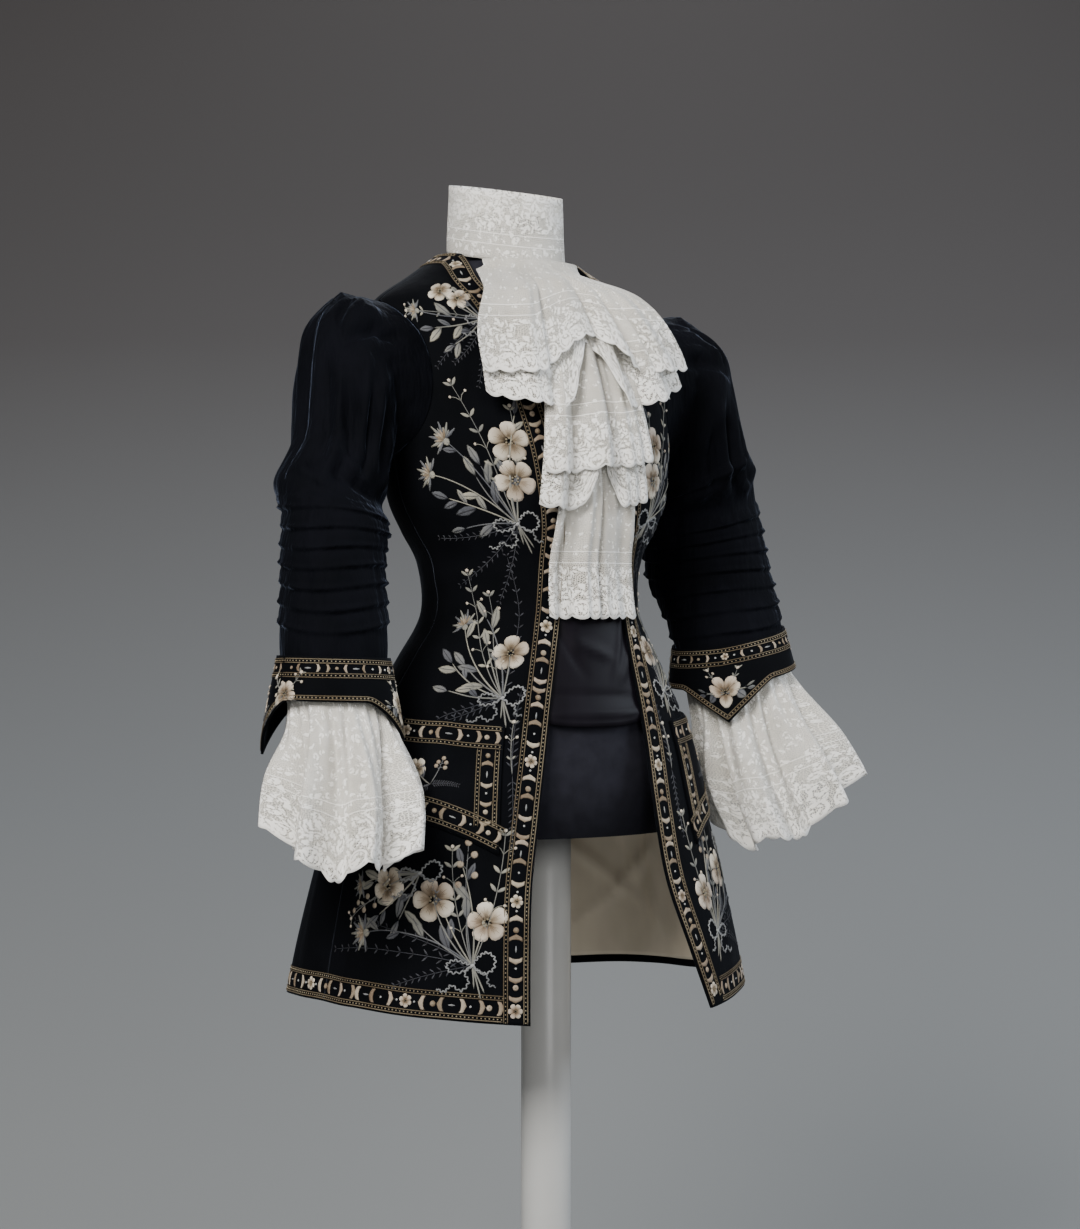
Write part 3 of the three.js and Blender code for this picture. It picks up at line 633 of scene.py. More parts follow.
# %% Fronts and backs
FRONT_CUT, BACK_CUT = (0.34, 0.80), (0.36, 0.82)
for word, side in SIDES:
    face = panel(side, lambda level: front_edge(side, level), side_seam)
    piece = cloth(f"velvet_front_{word}", face, 64, 150, VELVET, FRONT_CUT, velvet)
    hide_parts(f"coat_front_{word}")
    piece = cloth(f"velvet_back_{word}", panel(side, back_seam, vent_edge), 56, 150, VELVET,
                  BACK_CUT, velvet)
    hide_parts(f"coat_back_{word}")

# %% [markdown]
# ## Lining and vest front
#
# The satin lining is cut to each panel and shows inside the skirt, where it hangs in loose folds
# of its own. The vest front lies behind both front edges. Its lower edge is rounded up at both
# ends, with a rolled crease along it and soft folds drawn across it.

# %% Lining
LINING_LOW, LINING_HIGH = 0.24, 4.0
LINING_OUT = -(VELVET + LAY_GAP)
LINING_CUTS = {   # flat size, and area of the cut
    "front": ((0.12, 0.26), 0.024),
    "back": ((0.28, 0.26), 0.068),
}
LINING_FOLDS = (
    (12, 4.0, 14, 0.4, 6, -4.2), (60, 3.8, 58, 0.4, 8, -4.9), (84, 4.0, 82, 0.4, 7, -4.2),
    (104, 3.9, 108, 0.4, 8, -4.9), (140, 4.0, 138, 0.4, 9, -4.9), (168, 3.9, 166, 0.4, 8, -4.2),
    (-70, 3.9, -73, 0.4, 8, -4.6), (-112, 4.0, -109, 0.4, 9, -4.9), (-138, 3.8, -141, 0.4, 8, -4.6),
    (-164, 4.0, -163, 0.4, 8, -4.2), (96, 2.6, 150, 0.3, 4, -4.6), (128, 3.6, 100, 0.4, 3.5, -4.2),
    (150, 2.8, 112, 1.2, 4.5, -4.4), (70, 3.0, 130, 2.4, 7, -2.7), (-150, 2.8, -90, 2.2, 7, -2.7),
)


def lining_face(side, near, far):
    def face(u, v):
        level = mix(LINING_LOW, LINING_HIGH, v)
        angle = between(side, near, far, u, level)
        loose = np.minimum(0, folded(angle, level, LINING_FOLDS, BODY_SCALE))
        return coat(angle, level, LINING_OUT + loose)
    return face


for word, side in SIDES:
    halfway = lambda level: mix(front_edge(side, level), side_seam(level), 0.5)
    for part, near, far in (("front", halfway, side_seam), ("back", back_seam, vent_edge)):
        flat, cut_area = LINING_CUTS[part]
        piece = cloth(f"satin_lining_{part}_{word}", lining_face(side, near, far), 40, 40, SATIN,
                      flat, lining_satin)
        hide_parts(f"lining_{part}_{word}")

# %% Vest front
VEST_LOW, VEST_HIGH, VEST_LAP = 4.45, 14.8, 9
VEST_OUT = -(VELVET + 2 * LAY_GAP)
VEST_ROUND, VEST_ROUND_PART = 0.30, 0.12     # how far its lower corners are rounded, over which part
VEST_CUT = (0.16, 0.47)
VEST_FOLDS = (
    (20, 5.0, 40, 5.5, 5, -2.0), (10, 5.3, 30, 6.6, 6, 1.8), (-12, 6.4, 12, 6.0, 6, 1.6),
    (-20, 7.6, 20, 7.2, 7, -1.6), (-16, 8.4, 18, 8.2, 7, 1.4), (-30, 4.75, 34, 4.75, 5, 2.4),
    (-26, 5.2, 22, 5.1, 4, -1.4), (28, 7.4, 8, 5.4, 5, 1.6), (-22, 7.0, -4, 5.6, 5, -1.5),
)


def vest_face(u, v):
    level = mix(VEST_LOW, VEST_HIGH, v)
    angle = mix(-front_edge(-1, level) - VEST_LAP, front_edge(1, level) + VEST_LAP, u)
    level = level + VEST_ROUND * smooth((VEST_ROUND_PART - v) / VEST_ROUND_PART) * np.abs(2 * u - 1) ** 3
    return body(angle, level, VEST_OUT + folded(angle, level, VEST_FOLDS, BODY_SCALE))


piece = cloth("satin_vest", vest_face, 48, 110, SATIN, VEST_CUT, vest_satin)
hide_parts("vest_front")

# %% [markdown]
# ## Sleeves
#
# Each sleeve runs through rings from the armhole to the wrist. The head is gathered into the seam
# and stands up in a puff, with a V of two deep creases at its front. Long soft folds run down to the
# elbow; from there the sleeve is drawn up into seven uneven tucks, each a soft roll over the next.

# %% Sleeve rings
SLEEVE_KEYS = ("out_across", "out_height", "in_across", "in_height", "deep", "twist", "right", "left")
SLEEVE = {
    "head": (206, 1303, 168, 1132, 62, 0, 54, 54),
    "puff": (234, 1279, 170, 1124, 69, 3, 51, 44),
    "puff side": (246, 1241, 172, 1116, 70, 6, 49, 47),
    "upper arm": (252, 1198, 173, 1108, 66, 8, 48, 42),
    "low arm": (262, 1160, 174, 1099, 64, 10, 42, 40),
    "elbow": (287, 1121, 176, 1090, 62, 12, 40, 53),
    "below elbow": (290, 1090, 180, 1072, 60, 14, 21, 48),
    "forearm": (295, 1058, 185, 1050, 58, 15, 16, 44),
    "mid forearm": (298, 1026, 188, 1022, 57, 15, 12, 38),
    "low forearm": (301, 992, 193, 990, 54, 8, 5, 23),
    "above wrist": (304, 955, 197, 955, 52, 4, -1, 14),
    "wrist": (301, 918, 204, 918, 47, 2, -5, 6),
}
TUCK_FIRST, TUCK_LAST, TUCK_COUNT, TUCK_DEEP = 5.3, 9.45, 7, 3.2
WRIST_KEYS = ("top", "lift", "lean", "end", "swing", "forward", "drop", "hem_lift")
WRISTS = {
    -1: dict(zip(WRIST_KEYS, (950, 2, 0.02, 918, 24, 46, 158, 4))),
    1: dict(zip(WRIST_KEYS, (967, 17, 0.2, 936, 32, 42, 150, 16))),
}
TILT_FROM = 7
SLEEVE_SCALE = (1.15, 38.0)
SLEEVE_FOLDS = {   # direction about the arm: 0 out, 90 back, 180 in, 270 front
    -1: (
        (288, -0.8, 328, 1.6, 6, -9.1), (356, -0.5, 328, 1.5, 6, -6.5), (320, -0.6, 330, 1.1, 9, 5.2),
        (300, 0.6, 290, 3.4, 7, 5.5), (276, 0.1, 270, 4.4, 7, 4.7), (286, 1.4, 280, 5.0, 5, -5.2),
        (314, 1.9, 300, 5.0, 6, -5.2), (326, 1.6, 314, 5.2, 6, 5.5), (340, 1.7, 330, 4.9, 5, -4.9),
        (354, 0.9, 346, 4.8, 7, 4.7), (8, 0.6, 2, 4.6, 6, -4.4), (24, 0.5, 18, 4.6, 8, 4.2),
        (44, 0.7, 38, 4.4, 7, -3.9), (64, 0.5, 60, 4.6, 9, 3.9), (88, 0.6, 92, 4.2, 8, -3.6),
        (112, 0.8, 120, 4.6, 10, 3.4), (262, 0.8, 258, 4.2, 6, -4.2), (246, 1.0, 244, 4.6, 8, 3.4),
        (262, 4.7, 330, 4.0, 6, 4.2), (250, 5.2, 316, 4.6, 5, -3.9), (300, 5.2, 352, 4.6, 6, 3.1),
    ),
    1: (
        (284, -0.8, 312, 1.5, 6, -7.8), (340, -0.5, 314, 1.3, 6, -5.7), (300, -0.5, 314, 1.0, 8, 4.7),
        (272, 0.3, 266, 4.4, 7, 4.9), (284, 1.1, 276, 4.8, 5, -5.2), (300, 1.3, 290, 4.9, 7, 5.2),
        (314, 1.7, 304, 4.8, 5, -5.2), (330, 0.6, 320, 4.9, 7, 5.2), (344, 1.2, 336, 4.6, 5, -4.7),
        (0, 0.4, 354, 4.6, 8, 4.7), (18, 0.8, 12, 4.4, 6, -4.4), (36, 0.6, 32, 4.6, 9, 4.2),
        (62, 0.6, 66, 4.2, 8, -3.6), (90, 0.8, 96, 4.5, 10, 3.6), (256, 0.8, 252, 4.4, 6, -3.9),
        (240, 1.0, 236, 4.6, 8, 3.4), (282, 4.8, 344, 4.2, 6, 3.9), (270, 4.3, 320, 3.7, 5, -3.6),
    ),
}


def sleeve_row(key, level):
    at = SLEEVE_KEYS.index(key)
    return spline([row[at] for row in SLEEVE.values()], level)


def tucks(direction, level, side):
    """The soft rolls between the tucks, with a few small puckers in each."""
    turn = np.radians(direction)
    uneven = 0.22 * np.sin(turn + 0.8 * side) + 0.16 * np.sin(2 * turn + 1.7 * level * 0.4)
    place = (level - TUCK_FIRST) / (TUCK_LAST - TUCK_FIRST) * TUCK_COUNT + uneven
    inside = smooth(place / 0.3) * smooth((TUCK_COUNT - place) / 0.3)
    part = np.clip(place - np.floor(place), 0, 1)
    number = np.floor(place)
    ridge = np.exp(-((part - 0.80) / 0.13) ** 2) * (0.62 + 0.3 * np.sin(3 * turn + 2.2 * number))
    roll = 0.5 * np.sin(np.pi * part) ** 0.7 + ridge
    pucker = np.sin(9 * turn + 2.1 * number) * 0.6 + np.sin(17 * turn + 1.3 * number) * 0.5
    return inside * (TUCK_DEEP * 1.15 * roll + pucker * roll)


def arm_ring(side, direction, level, swell=0.0):
    """Points round a sleeve at a level from 0, the head, to the wrist."""
    turn = np.radians(direction)
    lift = WRISTS[side]["lift"] * smooth((level - TILT_FROM) / 4)
    half_x = (sleeve_row("out_across", level) - sleeve_row("in_across", level)) / 2
    half_z = (sleeve_row("out_height", level) - sleeve_row("in_height", level)) / 2 + lift
    mid_x = sleeve_row("in_across", level) + half_x
    mid_z = sleeve_row("in_height", level) - lift + half_z
    grown = 1 + swell / np.hypot(half_x, half_z)
    back = sleeve_row("right" if side < 0 else "left", level)
    x = mid_x + half_x * grown * np.cos(turn)
    twist = sleeve_row("twist", level)
    y = back + (sleeve_row("deep", level) + swell) * np.sin(turn) - twist * np.cos(turn)
    z = mid_z + half_z * grown * np.cos(turn)
    return np.stack([side * x, y, z], -1)


def armhole_ring(side, direction):
    turn = np.radians(direction)
    angle = side * (90 + ARMHOLE_ANGLE * np.sin(turn))
    return body(angle, ARMHOLE_MID + ARMHOLE_HALF * np.cos(turn), SEAM_GAP)


def sleeve_level(height):
    """The level at which the sleeve's middle line is at a height."""
    levels = np.arange(8, len(SLEEVE) - 1, 0.01)
    middle = (sleeve_row("out_height", levels) + sleeve_row("in_height", levels)) / 2
    return levels[np.argmax(middle <= height)] if np.any(middle <= height) else levels[-1]


def sleeve_point(side, direction, level):
    """The sleeve's outer face with folds, gathers at its head and tucks."""
    turn = np.radians(direction)
    gathers = smooth((1.1 - np.abs(level - 0.1)) / 1.1) * (0.5 + 0.5 * np.cos(turn))
    gathers = gathers * (1.5 * np.sin(23 * turn) + 1.0 * np.sin(37 * turn + 1))
    swell = tucks(direction, level, side) + gathers
    swell = swell + folded(direction, level, SLEEVE_FOLDS[side], SLEEVE_SCALE)
    below = arm_ring(side, direction, np.maximum(level, 0), swell * smooth((level + 1) / 0.6))
    seam = armhole_ring(side, direction)
    part = np.clip(level + 1, 0, 1)[..., None]
    return mix(seam, below, part)


# %% Sleeves
SLEEVE_CUT = (0.44, 0.56)
for word, side in SIDES:
    end = sleeve_level(WRISTS[side]["end"])
    face = lambda u, v: sleeve_point(side, u * 360, mix(-1, end, v))
    piece = cloth(f"velvet_sleeve_{word}", face, 120, 240, VELVET, SLEEVE_CUT, sleeve_velvet,
                  round_piece=True, turned=side > 0)
    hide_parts(f"sleeve_{word}")

# %% [markdown]
# ## Cuffs and pocket flaps
#
# A cuff is sewn on at its upper edge, flares below it and falls in two points. A flap lies on the
# front with a bowed top edge, and its lower edge runs down to the corner nearest the opening.

# %% Cuffs
CUFF_FLARE, CUFF_SHORT = 12, 42
CUFF_POINTS = ((42, 52, 50), (225, 36, 46))   # direction, extra depth, half width in degrees


def cuff_drop(direction):
    drop = CUFF_SHORT + 0 * direction
    for toward, extra, spread in CUFF_POINTS:
        away = np.abs((direction - toward + 540) % 360 - 180) / spread
        drop = drop + extra * np.maximum(0, 1 - away) ** 1.3
    return drop


def cuff_point(side, direction, part, out=0.0):
    """The cuff's outer face: part runs from 0 at its seam to 1 at its lower edge."""
    wrist = WRISTS[side]
    turn = np.radians(direction)
    drop = cuff_drop(direction) * part
    away = VELVET + LAY_GAP + CUFF_FLARE * drop / CUFF_SHORT / 1.6 + out
    away = away + 1.2 * np.sin(3 * turn + 0.6) * smooth(drop / 40)
    point = arm_ring(side, direction, sleeve_level(wrist["top"]) + 0 * turn)
    shift = [side * away * np.cos(turn), away * np.sin(turn) - drop * wrist["lean"], -drop]
    return point + np.stack(shift, -1)


CUFF_CUT = (0.38, 0.10)
for word, side in SIDES:
    face = lambda u, v: cuff_point(side, u * 360, v)
    piece = cloth(f"velvet_cuff_{word}", face, 120, 20, VELVET, CUFF_CUT, velvet,
                  round_piece=True, turned=side > 0)
    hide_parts(f"cuff_{word}")

# %% Flaps
FLAP_NEAR, FLAP_FAR = 35, 75                    # angles of its two ends
FLAP_TOP, FLAP_BOTTOM = 4.65, 2.9               # levels of its edges
FLAP_POINT, FLAP_DROOP = 0.55, 0.16             # how far the front corner and the top edge fall
FLAP_OUT = LAY_GAP + VELVET
FLAP_CUT = (0.13, 0.13)


def flap_place(side, forward, v):
    """Angle and level on the flap: forward is 1 at the edge nearest the opening."""
    low = FLAP_BOTTOM + 0.1 - FLAP_POINT * forward ** 2
    return side * mix(FLAP_FAR, FLAP_NEAR, forward), mix(low, FLAP_TOP - FLAP_DROOP * forward, v)


for word, side in SIDES:
    face = lambda u, v: coat(*flap_place(side, 1 - u if side > 0 else u, v), FLAP_OUT)
    piece = cloth(f"velvet_flap_{word}", face, 30, 26, VELVET, FLAP_CUT, velvet)
    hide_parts(f"pocket_flap_{word}")

# %% [markdown]
# ## Lace at the neck and wrists
#
# The collar is a band wound once round the neck with a short lap. Under it hang five falls, each
# a little shorter and wider than the one behind it, spread in soft waves; their lower edges are
# scalloped, one scallop to each ring of the pattern. A fall that is notched shows the one behind it.
# The frills are set inside the cuffs: each is one round of ruffles with an uneven edge.

# %% Collar
NECK_MIDDLE, COLLAR_RADIUS, COLLAR_LAP = 70, 57, 16
COLLAR_BASE, COLLAR_TOP = (1341, 1363), (1408, 1432)
COLLAR_CUT, COLLAR_FLIP = (0.375, 0.068), 0.079     # the pattern runs down from the upper edge
COLLAR_START = -40                                  # where the lap begins, in degrees


def round_neck(turn, radius, height):
    """Points round the neck's upright axis; turn is 0 at the front."""
    return np.stack([radius * np.sin(turn), NECK_MIDDLE - radius * np.cos(turn), height], -1)


def collar_face(u, v):
    turn = np.radians(COLLAR_START + u * (360 + COLLAR_LAP))
    lean = 0.5 * (1 - np.cos(turn))
    radius = COLLAR_RADIUS + (LACE + SEAM_GAP + 0.3) * (1 - u) + 2.5 * (1 - v)
    soft = 0.7 * np.sin(5 * turn + 2 * v) * np.sin(np.pi * v)
    soft = soft + 0.5 * np.sin(11 * turn) * (v > 0.5) * (v - 0.5)
    height = mix(mix(*COLLAR_BASE, lean), mix(*COLLAR_TOP, lean), v)
    return round_neck(turn, radius + soft, height)


piece = cloth("lace_stand_collar", collar_face, 130, 20, LACE, COLLAR_CUT, frill_lace,
              flip_v=COLLAR_FLIP)
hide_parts("lace_collar")

# %% Falls of the jabot
FALL_KEYS = ("fall", "neck", "wide", "shift", "stand", "waves", "deep", "corner", "notch", "slant",
             "quick", "centre", "steep", "lean")
FALLS = {
    "jabot_tier_3": (356, 26, 55, -4, 7, 4, 4, 0, 0, 0, 1.5, 0, 2, 1.2),
    "jabot_tier_2_under": (250, 34, 66, 4, 17, 5, 4, 6, 54, 4, 1.5, 0.05, 2.4, 1.2),
    "jabot_tier_2_over": (212, 40, 67, 2, 24, 5, 4, 4, 4, 8, 1.5, 0, 2, 1.3),
    "jabot_tier_1_under": (152, 56, 124, -5, 34, 7, 5, 20, 66, 8, 3.2, -0.10, 3.2, 1.0),
    "jabot_tier_1_over": (116, 60, 132, -9, 43, 7, 5, 4, 37, 7, 3.2, -0.14, 1.9, 0.9),
}
JABOT_TOP, JABOT_LAYER, JABOT_INSET, JABOT_OPENS, JABOT_AIM = 1344.5, 2, 0.5, 0.06, 1
FALL_FULL = 1.12             # how much wider the cut is than the fall it makes
PLEATS = {   # place across, from -1 to 1; half width; how far the pleat stands out; drift as it falls
    "jabot_tier_3": ((-0.70, 0.13, -4.5, 0.0), (-0.30, 0.10, 6.0, -0.06), (0.10, 0.07, -5.5, 0.05),
                     (0.48, 0.13, 5.5, 0.10)),
    "jabot_tier_2": ((-0.78, 0.12, 5.0, -0.05), (-0.46, 0.08, -6.0, -0.10), (-0.10, 0.13, 7.0, 0.0),
                     (0.22, 0.06, -6.5, 0.05), (0.50, 0.11, 5.5, 0.08), (0.80, 0.08, -4.0, 0.0)),
    "jabot_tier_1": ((-0.72, 0.08, 6.0, -0.12), (-0.50, 0.05, -7.5, -0.10), (-0.26, 0.09, 7.0, -0.08),
                     (-0.04, 0.05, -9.0, 0.0), (0.16, 0.08, 7.0, 0.12), (0.38, 0.05, -7.0, 0.14),
                     (0.60, 0.09, 6.0, 0.12), (0.84, 0.05, -4.5, 0.05)),
}


def scallops(along, part):
    """How far the edge hangs lower, for a length along it and a part from 0, top, to 1, edge."""
    return SCALLOP_DEEP * np.abs(np.sin(np.pi * along / SCALLOP)) * smooth((part - 0.93) / 0.07)


def fall_face(row, order, pleats, scalloped):
    t = dict(zip(FALL_KEYS, row))
    front = [values[0] for values in SECTIONS.values()]

    def face(u, down):
        aside = 2 * u - 1
        middle = t["notch"] * (1 - smooth(np.abs(aside - t["centre"]) * t["steep"]))
        length = t["fall"] - t["corner"] * aside ** 2 - middle - t["slant"] * aside
        height = JABOT_TOP - length * down - scallops(u * scalloped, down)
        levels = np.arange(0, TOP_LEVEL, 0.02)
        level = np.interp(height, section("front", levels), levels)
        quick = 1 - (1 - np.maximum(0, down - JABOT_OPENS)) ** t["quick"]
        spread = np.where(aside < 0, quick, np.maximum(0, down) ** t["lean"])
        across = aside * mix(t["neck"], t["wide"], spread) + mix(JABOT_AIM, -t["shift"], down)
        bow = np.sqrt(np.maximum(0.05, 1 - (across / section("wide", level)) ** 2))
        chest = section("mid", level) - section("deep", level) * bow
        open_ = smooth(down * 1.4)
        wave = t["deep"] * open_ * np.cos(aside * np.pi * t["waves"] * 0.5)
        small = 0.7 * open_ * np.sin(aside * np.pi * t["waves"] * 1.7 + 2 * down)
        for place, half, out, drift in pleats:
            off = (aside - place + drift * (1 - down)) / (half * (0.6 + 0.5 * down))
            small = small + out * smooth(down * 2.2) * np.exp(-off ** 2)
        stand = mix(order * JABOT_LAYER - JABOT_INSET, t["stand"], smooth(down * 3))
        return np.stack([across, chest - stand - wave - small, height], -1)
    return face


for order, (name, row) in enumerate(FALLS.items()):
    wide = FALL_FULL * 2 * row[2]
    count = max(8, round(wide / SCALLOP))
    face = fall_face(row, order, PLEATS[name[:12]], count * SCALLOP)
    upward = lambda u, v: face(u, 1 - v)
    piece = cloth("lace_" + name, upward, 10 * count, 56, 0.7, (count * SCALLOP * MM, row[0] * MM),
                  lace)
    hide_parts(name)

# %% Frills at the wrists
FRILL_WAVES, FRILL_WAVE_DEEP, FRILL_SPREAD = 8, 15, 19
FRILL_CUT, FRILL_ZIGZAG = (0.56, 0.165), 8
FRILL_RISES = {   # direction, half width, share of the drop, how far pushed in
    -1: ((36, 44, 0.20, 9), (220, 36, 0.10, 0), (312, 26, -0.06, 0)),
    1: ((150, 50, 0.04, 15), (324, 40, 0.06, 0), (232, 30, -0.05, 0)),
}


def frill_face(side):
    wrist = WRISTS[side]
    end = sleeve_level(wrist["end"])
    count = round(FRILL_CUT[0] / MM / SCALLOP)

    def face(u, up):
        down = 1 - up
        turn = u * 2 * np.pi
        ring_at = arm_ring(side, u * 360, end + 0 * u)
        open_ = smooth(down * 1.15)
        uneven = 0.8 * np.sin(2 * turn + side) + 0.5 * np.sin(3 * turn + 2.0 + 1.5 * down)
        wave = np.sin(FRILL_WAVES * turn + 0.6 + uneven + 0.7 * side * down)
        double = 0.3 * np.sin(2 * FRILL_WAVES * turn + side - 1.2 * down)
        grow = FRILL_SPREAD * open_ + FRILL_WAVE_DEEP * smooth(down * 1.5) * (wave + double)
        grow = grow + 3.0 * np.sin(23 * turn + 2 * down) * smooth(down * 4) * smooth((1.2 - down) * 1.2)
        rise = 0
        for toward, half, share, push in FRILL_RISES[side]:
            near = np.exp(-(((u * 360 - toward + 180) % 360 - 180) / half) ** 2)
            rise = rise + share * near
            grow = grow - push * near * smooth(down * 2.5)
        x = side * (wrist["swing"] * down * down + grow * np.cos(turn))
        y = grow * np.sin(turn) - wrist["forward"] * down
        z = wrist["hem_lift"] * down * np.cos(turn) - LAY_GAP
        z = z - wrist["drop"] * down * (1 - rise) + FRILL_ZIGZAG * down * down * wave
        z = z - scallops(u * count * SCALLOP, down)
        return ring_at + np.stack([x, y, z], -1)
    return face, count


for word, side in SIDES:
    face, count = frill_face(side)
    piece = cloth(f"lace_frill_{word}", face, 10 * count, 36, 0.7, (count * SCALLOP * MM, FRILL_CUT[1]),
                  frill_lace, round_piece=True, turned=side < 0)
    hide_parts(f"frill_{word}")

# %% [markdown]
# ## The dress form
#
# The torso is padded and covered in cotton. It follows the coat's own sections without the
# skirt's flutes, a little inside them, and ends in a plain round neck. The post and its foot are
# turned shapes, so each is one profile spun round.

# %% Torso
FORM_BOTTOM, FORM_NECK, FORM_COLUMNS = 772, 1392, 72
FORM = ((3.35, 24), (3.6, 19), (4, 14), (5, 8), (6, 6.4), (7, 6.4), (8, 6.4), (9, 6.4), (10, 6.4),
        (11, 6.4), (12, 6.4), (13, 6.4), (14, 6.4), (15, 6.4), (15.3, 6.6))
NECK_RINGS = ((1346, 52.5), (1370, 49.5), (FORM_NECK - 6, 49), (FORM_NECK, 44))


def form_rings():
    """Rings of points from the bottom up, each FORM_COLUMNS long."""
    angles = np.arange(FORM_COLUMNS) * 360 / FORM_COLUMNS
    rings = [body(angles, level, -inset, True) for level, inset in FORM]
    rings[0][:, 2] = FORM_BOTTOM
    for height, radius in NECK_RINGS:
        rings.append(round_neck(np.radians(angles), radius, height + 0 * angles))
    return rings


bm = bmesh.new()
loops = []
for ring_points in form_rings():
    made = bmesh.ops.create_circle(bm, segments=FORM_COLUMNS, radius=1)["verts"]
    for vert, point in zip(made, ring_points):
        vert.co = point * MM
    loops.append(list({edge for vert in made for edge in vert.link_edges}))
for low, high in zip(loops, loops[1:]):
    bmesh.ops.bridge_loops(bm, edges=low + high)
bmesh.ops.holes_fill(bm, edges=[edge for edge in bm.edges if edge.is_boundary], sides=0)
caps = [f for f in bm.faces if len(f.verts) > 4]
bmesh.ops.inset_region(bm, faces=caps, thickness=0.012, depth=0.0)
bmesh.ops.recalc_face_normals(bm, faces=bm.faces[:])
mesh = mesh_of("dress_form", bm)
dress_form = link("dress_form", mesh, form_cotton)
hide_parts("form_torso")
print("torso", len(mesh.polygons), "faces")

# %% Post and foot
POST = [(0, 14.3), (24, 14.3), (25, 15.3), (25, 770.7), (24, 771.7), (0, 771.7)]    # radius, height
FOOT = [(0, 0), (187, 0), (189.2, 0.9), (190, 3), (190, 9.8), (188.8, 12.8), (186, 14), (60, 14), (0, 14)]


def turned_piece(name, profile, steps, replaces):
    """A profile of (radius, height) corners spun round the post's axis."""
    bm = bmesh.new()
    verts = [bm.verts.new((radius * MM, 0, height * MM)) for radius, height in profile]
    edges = [bm.edges.new(pair) for pair in zip(verts, verts[1:])]
    bmesh.ops.spin(bm, geom=verts + edges, cent=(0, 0, 0), axis=(0, 0, 1), angle=2 * math.pi,
                   steps=steps, use_merge=True)
    bmesh.ops.remove_doubles(bm, verts=bm.verts[:], dist=1e-6)
    bmesh.ops.recalc_face_normals(bm, faces=bm.faces[:])
    piece = link(name, mesh_of(name, bm), post_enamel)
    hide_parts(replaces)


turned_piece("post", POST, 64, "form_post")
turned_piece("foot", FOOT, 96, "form_base")
print("post and foot turned")

# %% [markdown]
# ## Embroidery: laying flat work on a curved face
#
# A design is drawn flat, in millimetres: x along, y across and h above the cloth. To lay it, a
# small step in x or y becomes a small step in the face's own two coordinates, and the face then
# gives the place. A patch does this round one place for a spray. A band does it all along a line
# for a border, so that the border keeps its width round every corner and curve.

# %% Laying
def steps_at(face, p, q, ep, eq):
    """For places p, q of a face: the change of (p, q) for 1 mm along and 1 mm across."""
    fp = (face(p + ep, q, 0.0) - face(p - ep, q, 0.0)) / (2 * ep)
    fq = (face(p, q + eq, 0.0) - face(p, q - eq, 0.0)) / (2 * eq)
    size = np.linalg.norm(fp, axis=-1)
    x_axis = fp / size[..., None]
    skew = np.sum(fq * x_axis, -1)
    rest = np.linalg.norm(fq - skew[..., None] * x_axis, axis=-1)
    return size, skew, rest


def patch(face, p0, q0, steps, q_ends, mirror=1):
    """Lays flat points round (p0, q0): y is measured up the line of constant p, x across it."""
    line_q = np.linspace(*q_ends, 120)
    points = face(p0 + 0 * line_q, line_q, 0.0)
    run = np.concatenate([[0], np.cumsum(np.linalg.norm(np.diff(points, axis=0), axis=1))])
    size = steps_at(face, p0 + 0 * line_q, line_q, *steps)[0]
    start = np.interp(q0, line_q, run)

    def lay(x, y, h):
        at_q = np.interp(start + y, run, line_q)
        return face(p0 + mirror * x / np.interp(start + y, run, size), at_q, h)
    return lay


BAND_ROW, BAND_ROWS = 2.0, 14      # a band is walked inward in rows, in millimetres
BAND_ENDS = (0.02, TOP_LEVEL - 0.02)


def band(face, line_p, line_q, ep, eq, inward=1):
    """Lays flat points along a line of places: x along it, y to its inner side."""
    points = face(line_p, line_q, 0.0)
    run = np.concatenate([[0], np.cumsum(np.linalg.norm(np.diff(points, axis=0), axis=1))])
    rows = [(line_p, line_q)]
    for _ in range(BAND_ROWS):
        p, q = rows[-1]
        size, skew, rest = steps_at(face, p, q, ep, eq)
        ax = np.gradient(p, run) * size + np.gradient(q, run) * skew
        ay = np.gradient(q, run) * rest
        length = np.hypot(ax, ay)
        dq = BAND_ROW * inward * ax / length / rest
        rows.append((p - BAND_ROW * inward * ay / length / size - dq * skew / size,
                     np.clip(q + dq, *BAND_ENDS)))
    rows = np.array(rows)

    def lay(x, y, h):
        at = np.clip(y / BAND_ROW, 0, BAND_ROWS - 0.001)
        along_at = np.interp(x, run, np.arange(len(run)))
        i = np.minimum(along_at.astype(int), len(run) - 2)
        j = at.astype(int)
        s, t = along_at - i, at - j
        near = rows[j, :, i] * (1 - s)[:, None] + rows[j, :, i + 1] * s[:, None]
        far = rows[j + 1, :, i] * (1 - s)[:, None] + rows[j + 1, :, i + 1] * s[:, None]
        place = near * (1 - t)[:, None] + far * t[:, None]
        return face(place[:, 0], place[:, 1], h)
    return lay, run[-1]


# %% [markdown]
# ## Embroidery: stitches as small closed shapes
#
# A petal, leaf or bead is one low sphere, pressed into its outline and flat underneath. A stem,
# cord or ribbon is a net rolled into a tube along a curve. Each is made once by an operator and
# set down many times, and all of one thread joins into one mesh.

# %% Shapes
def low_sphere(around, rows):
    bm = bmesh.new()
    bmesh.ops.create_uvsphere(bm, u_segments=around, v_segments=rows, radius=1)
    points = np.array([vert.co[:] for vert in bm.verts])
    faces = [[vert.index for vert in face.verts] for face in bm.faces]
    bm.free()
    return points, faces


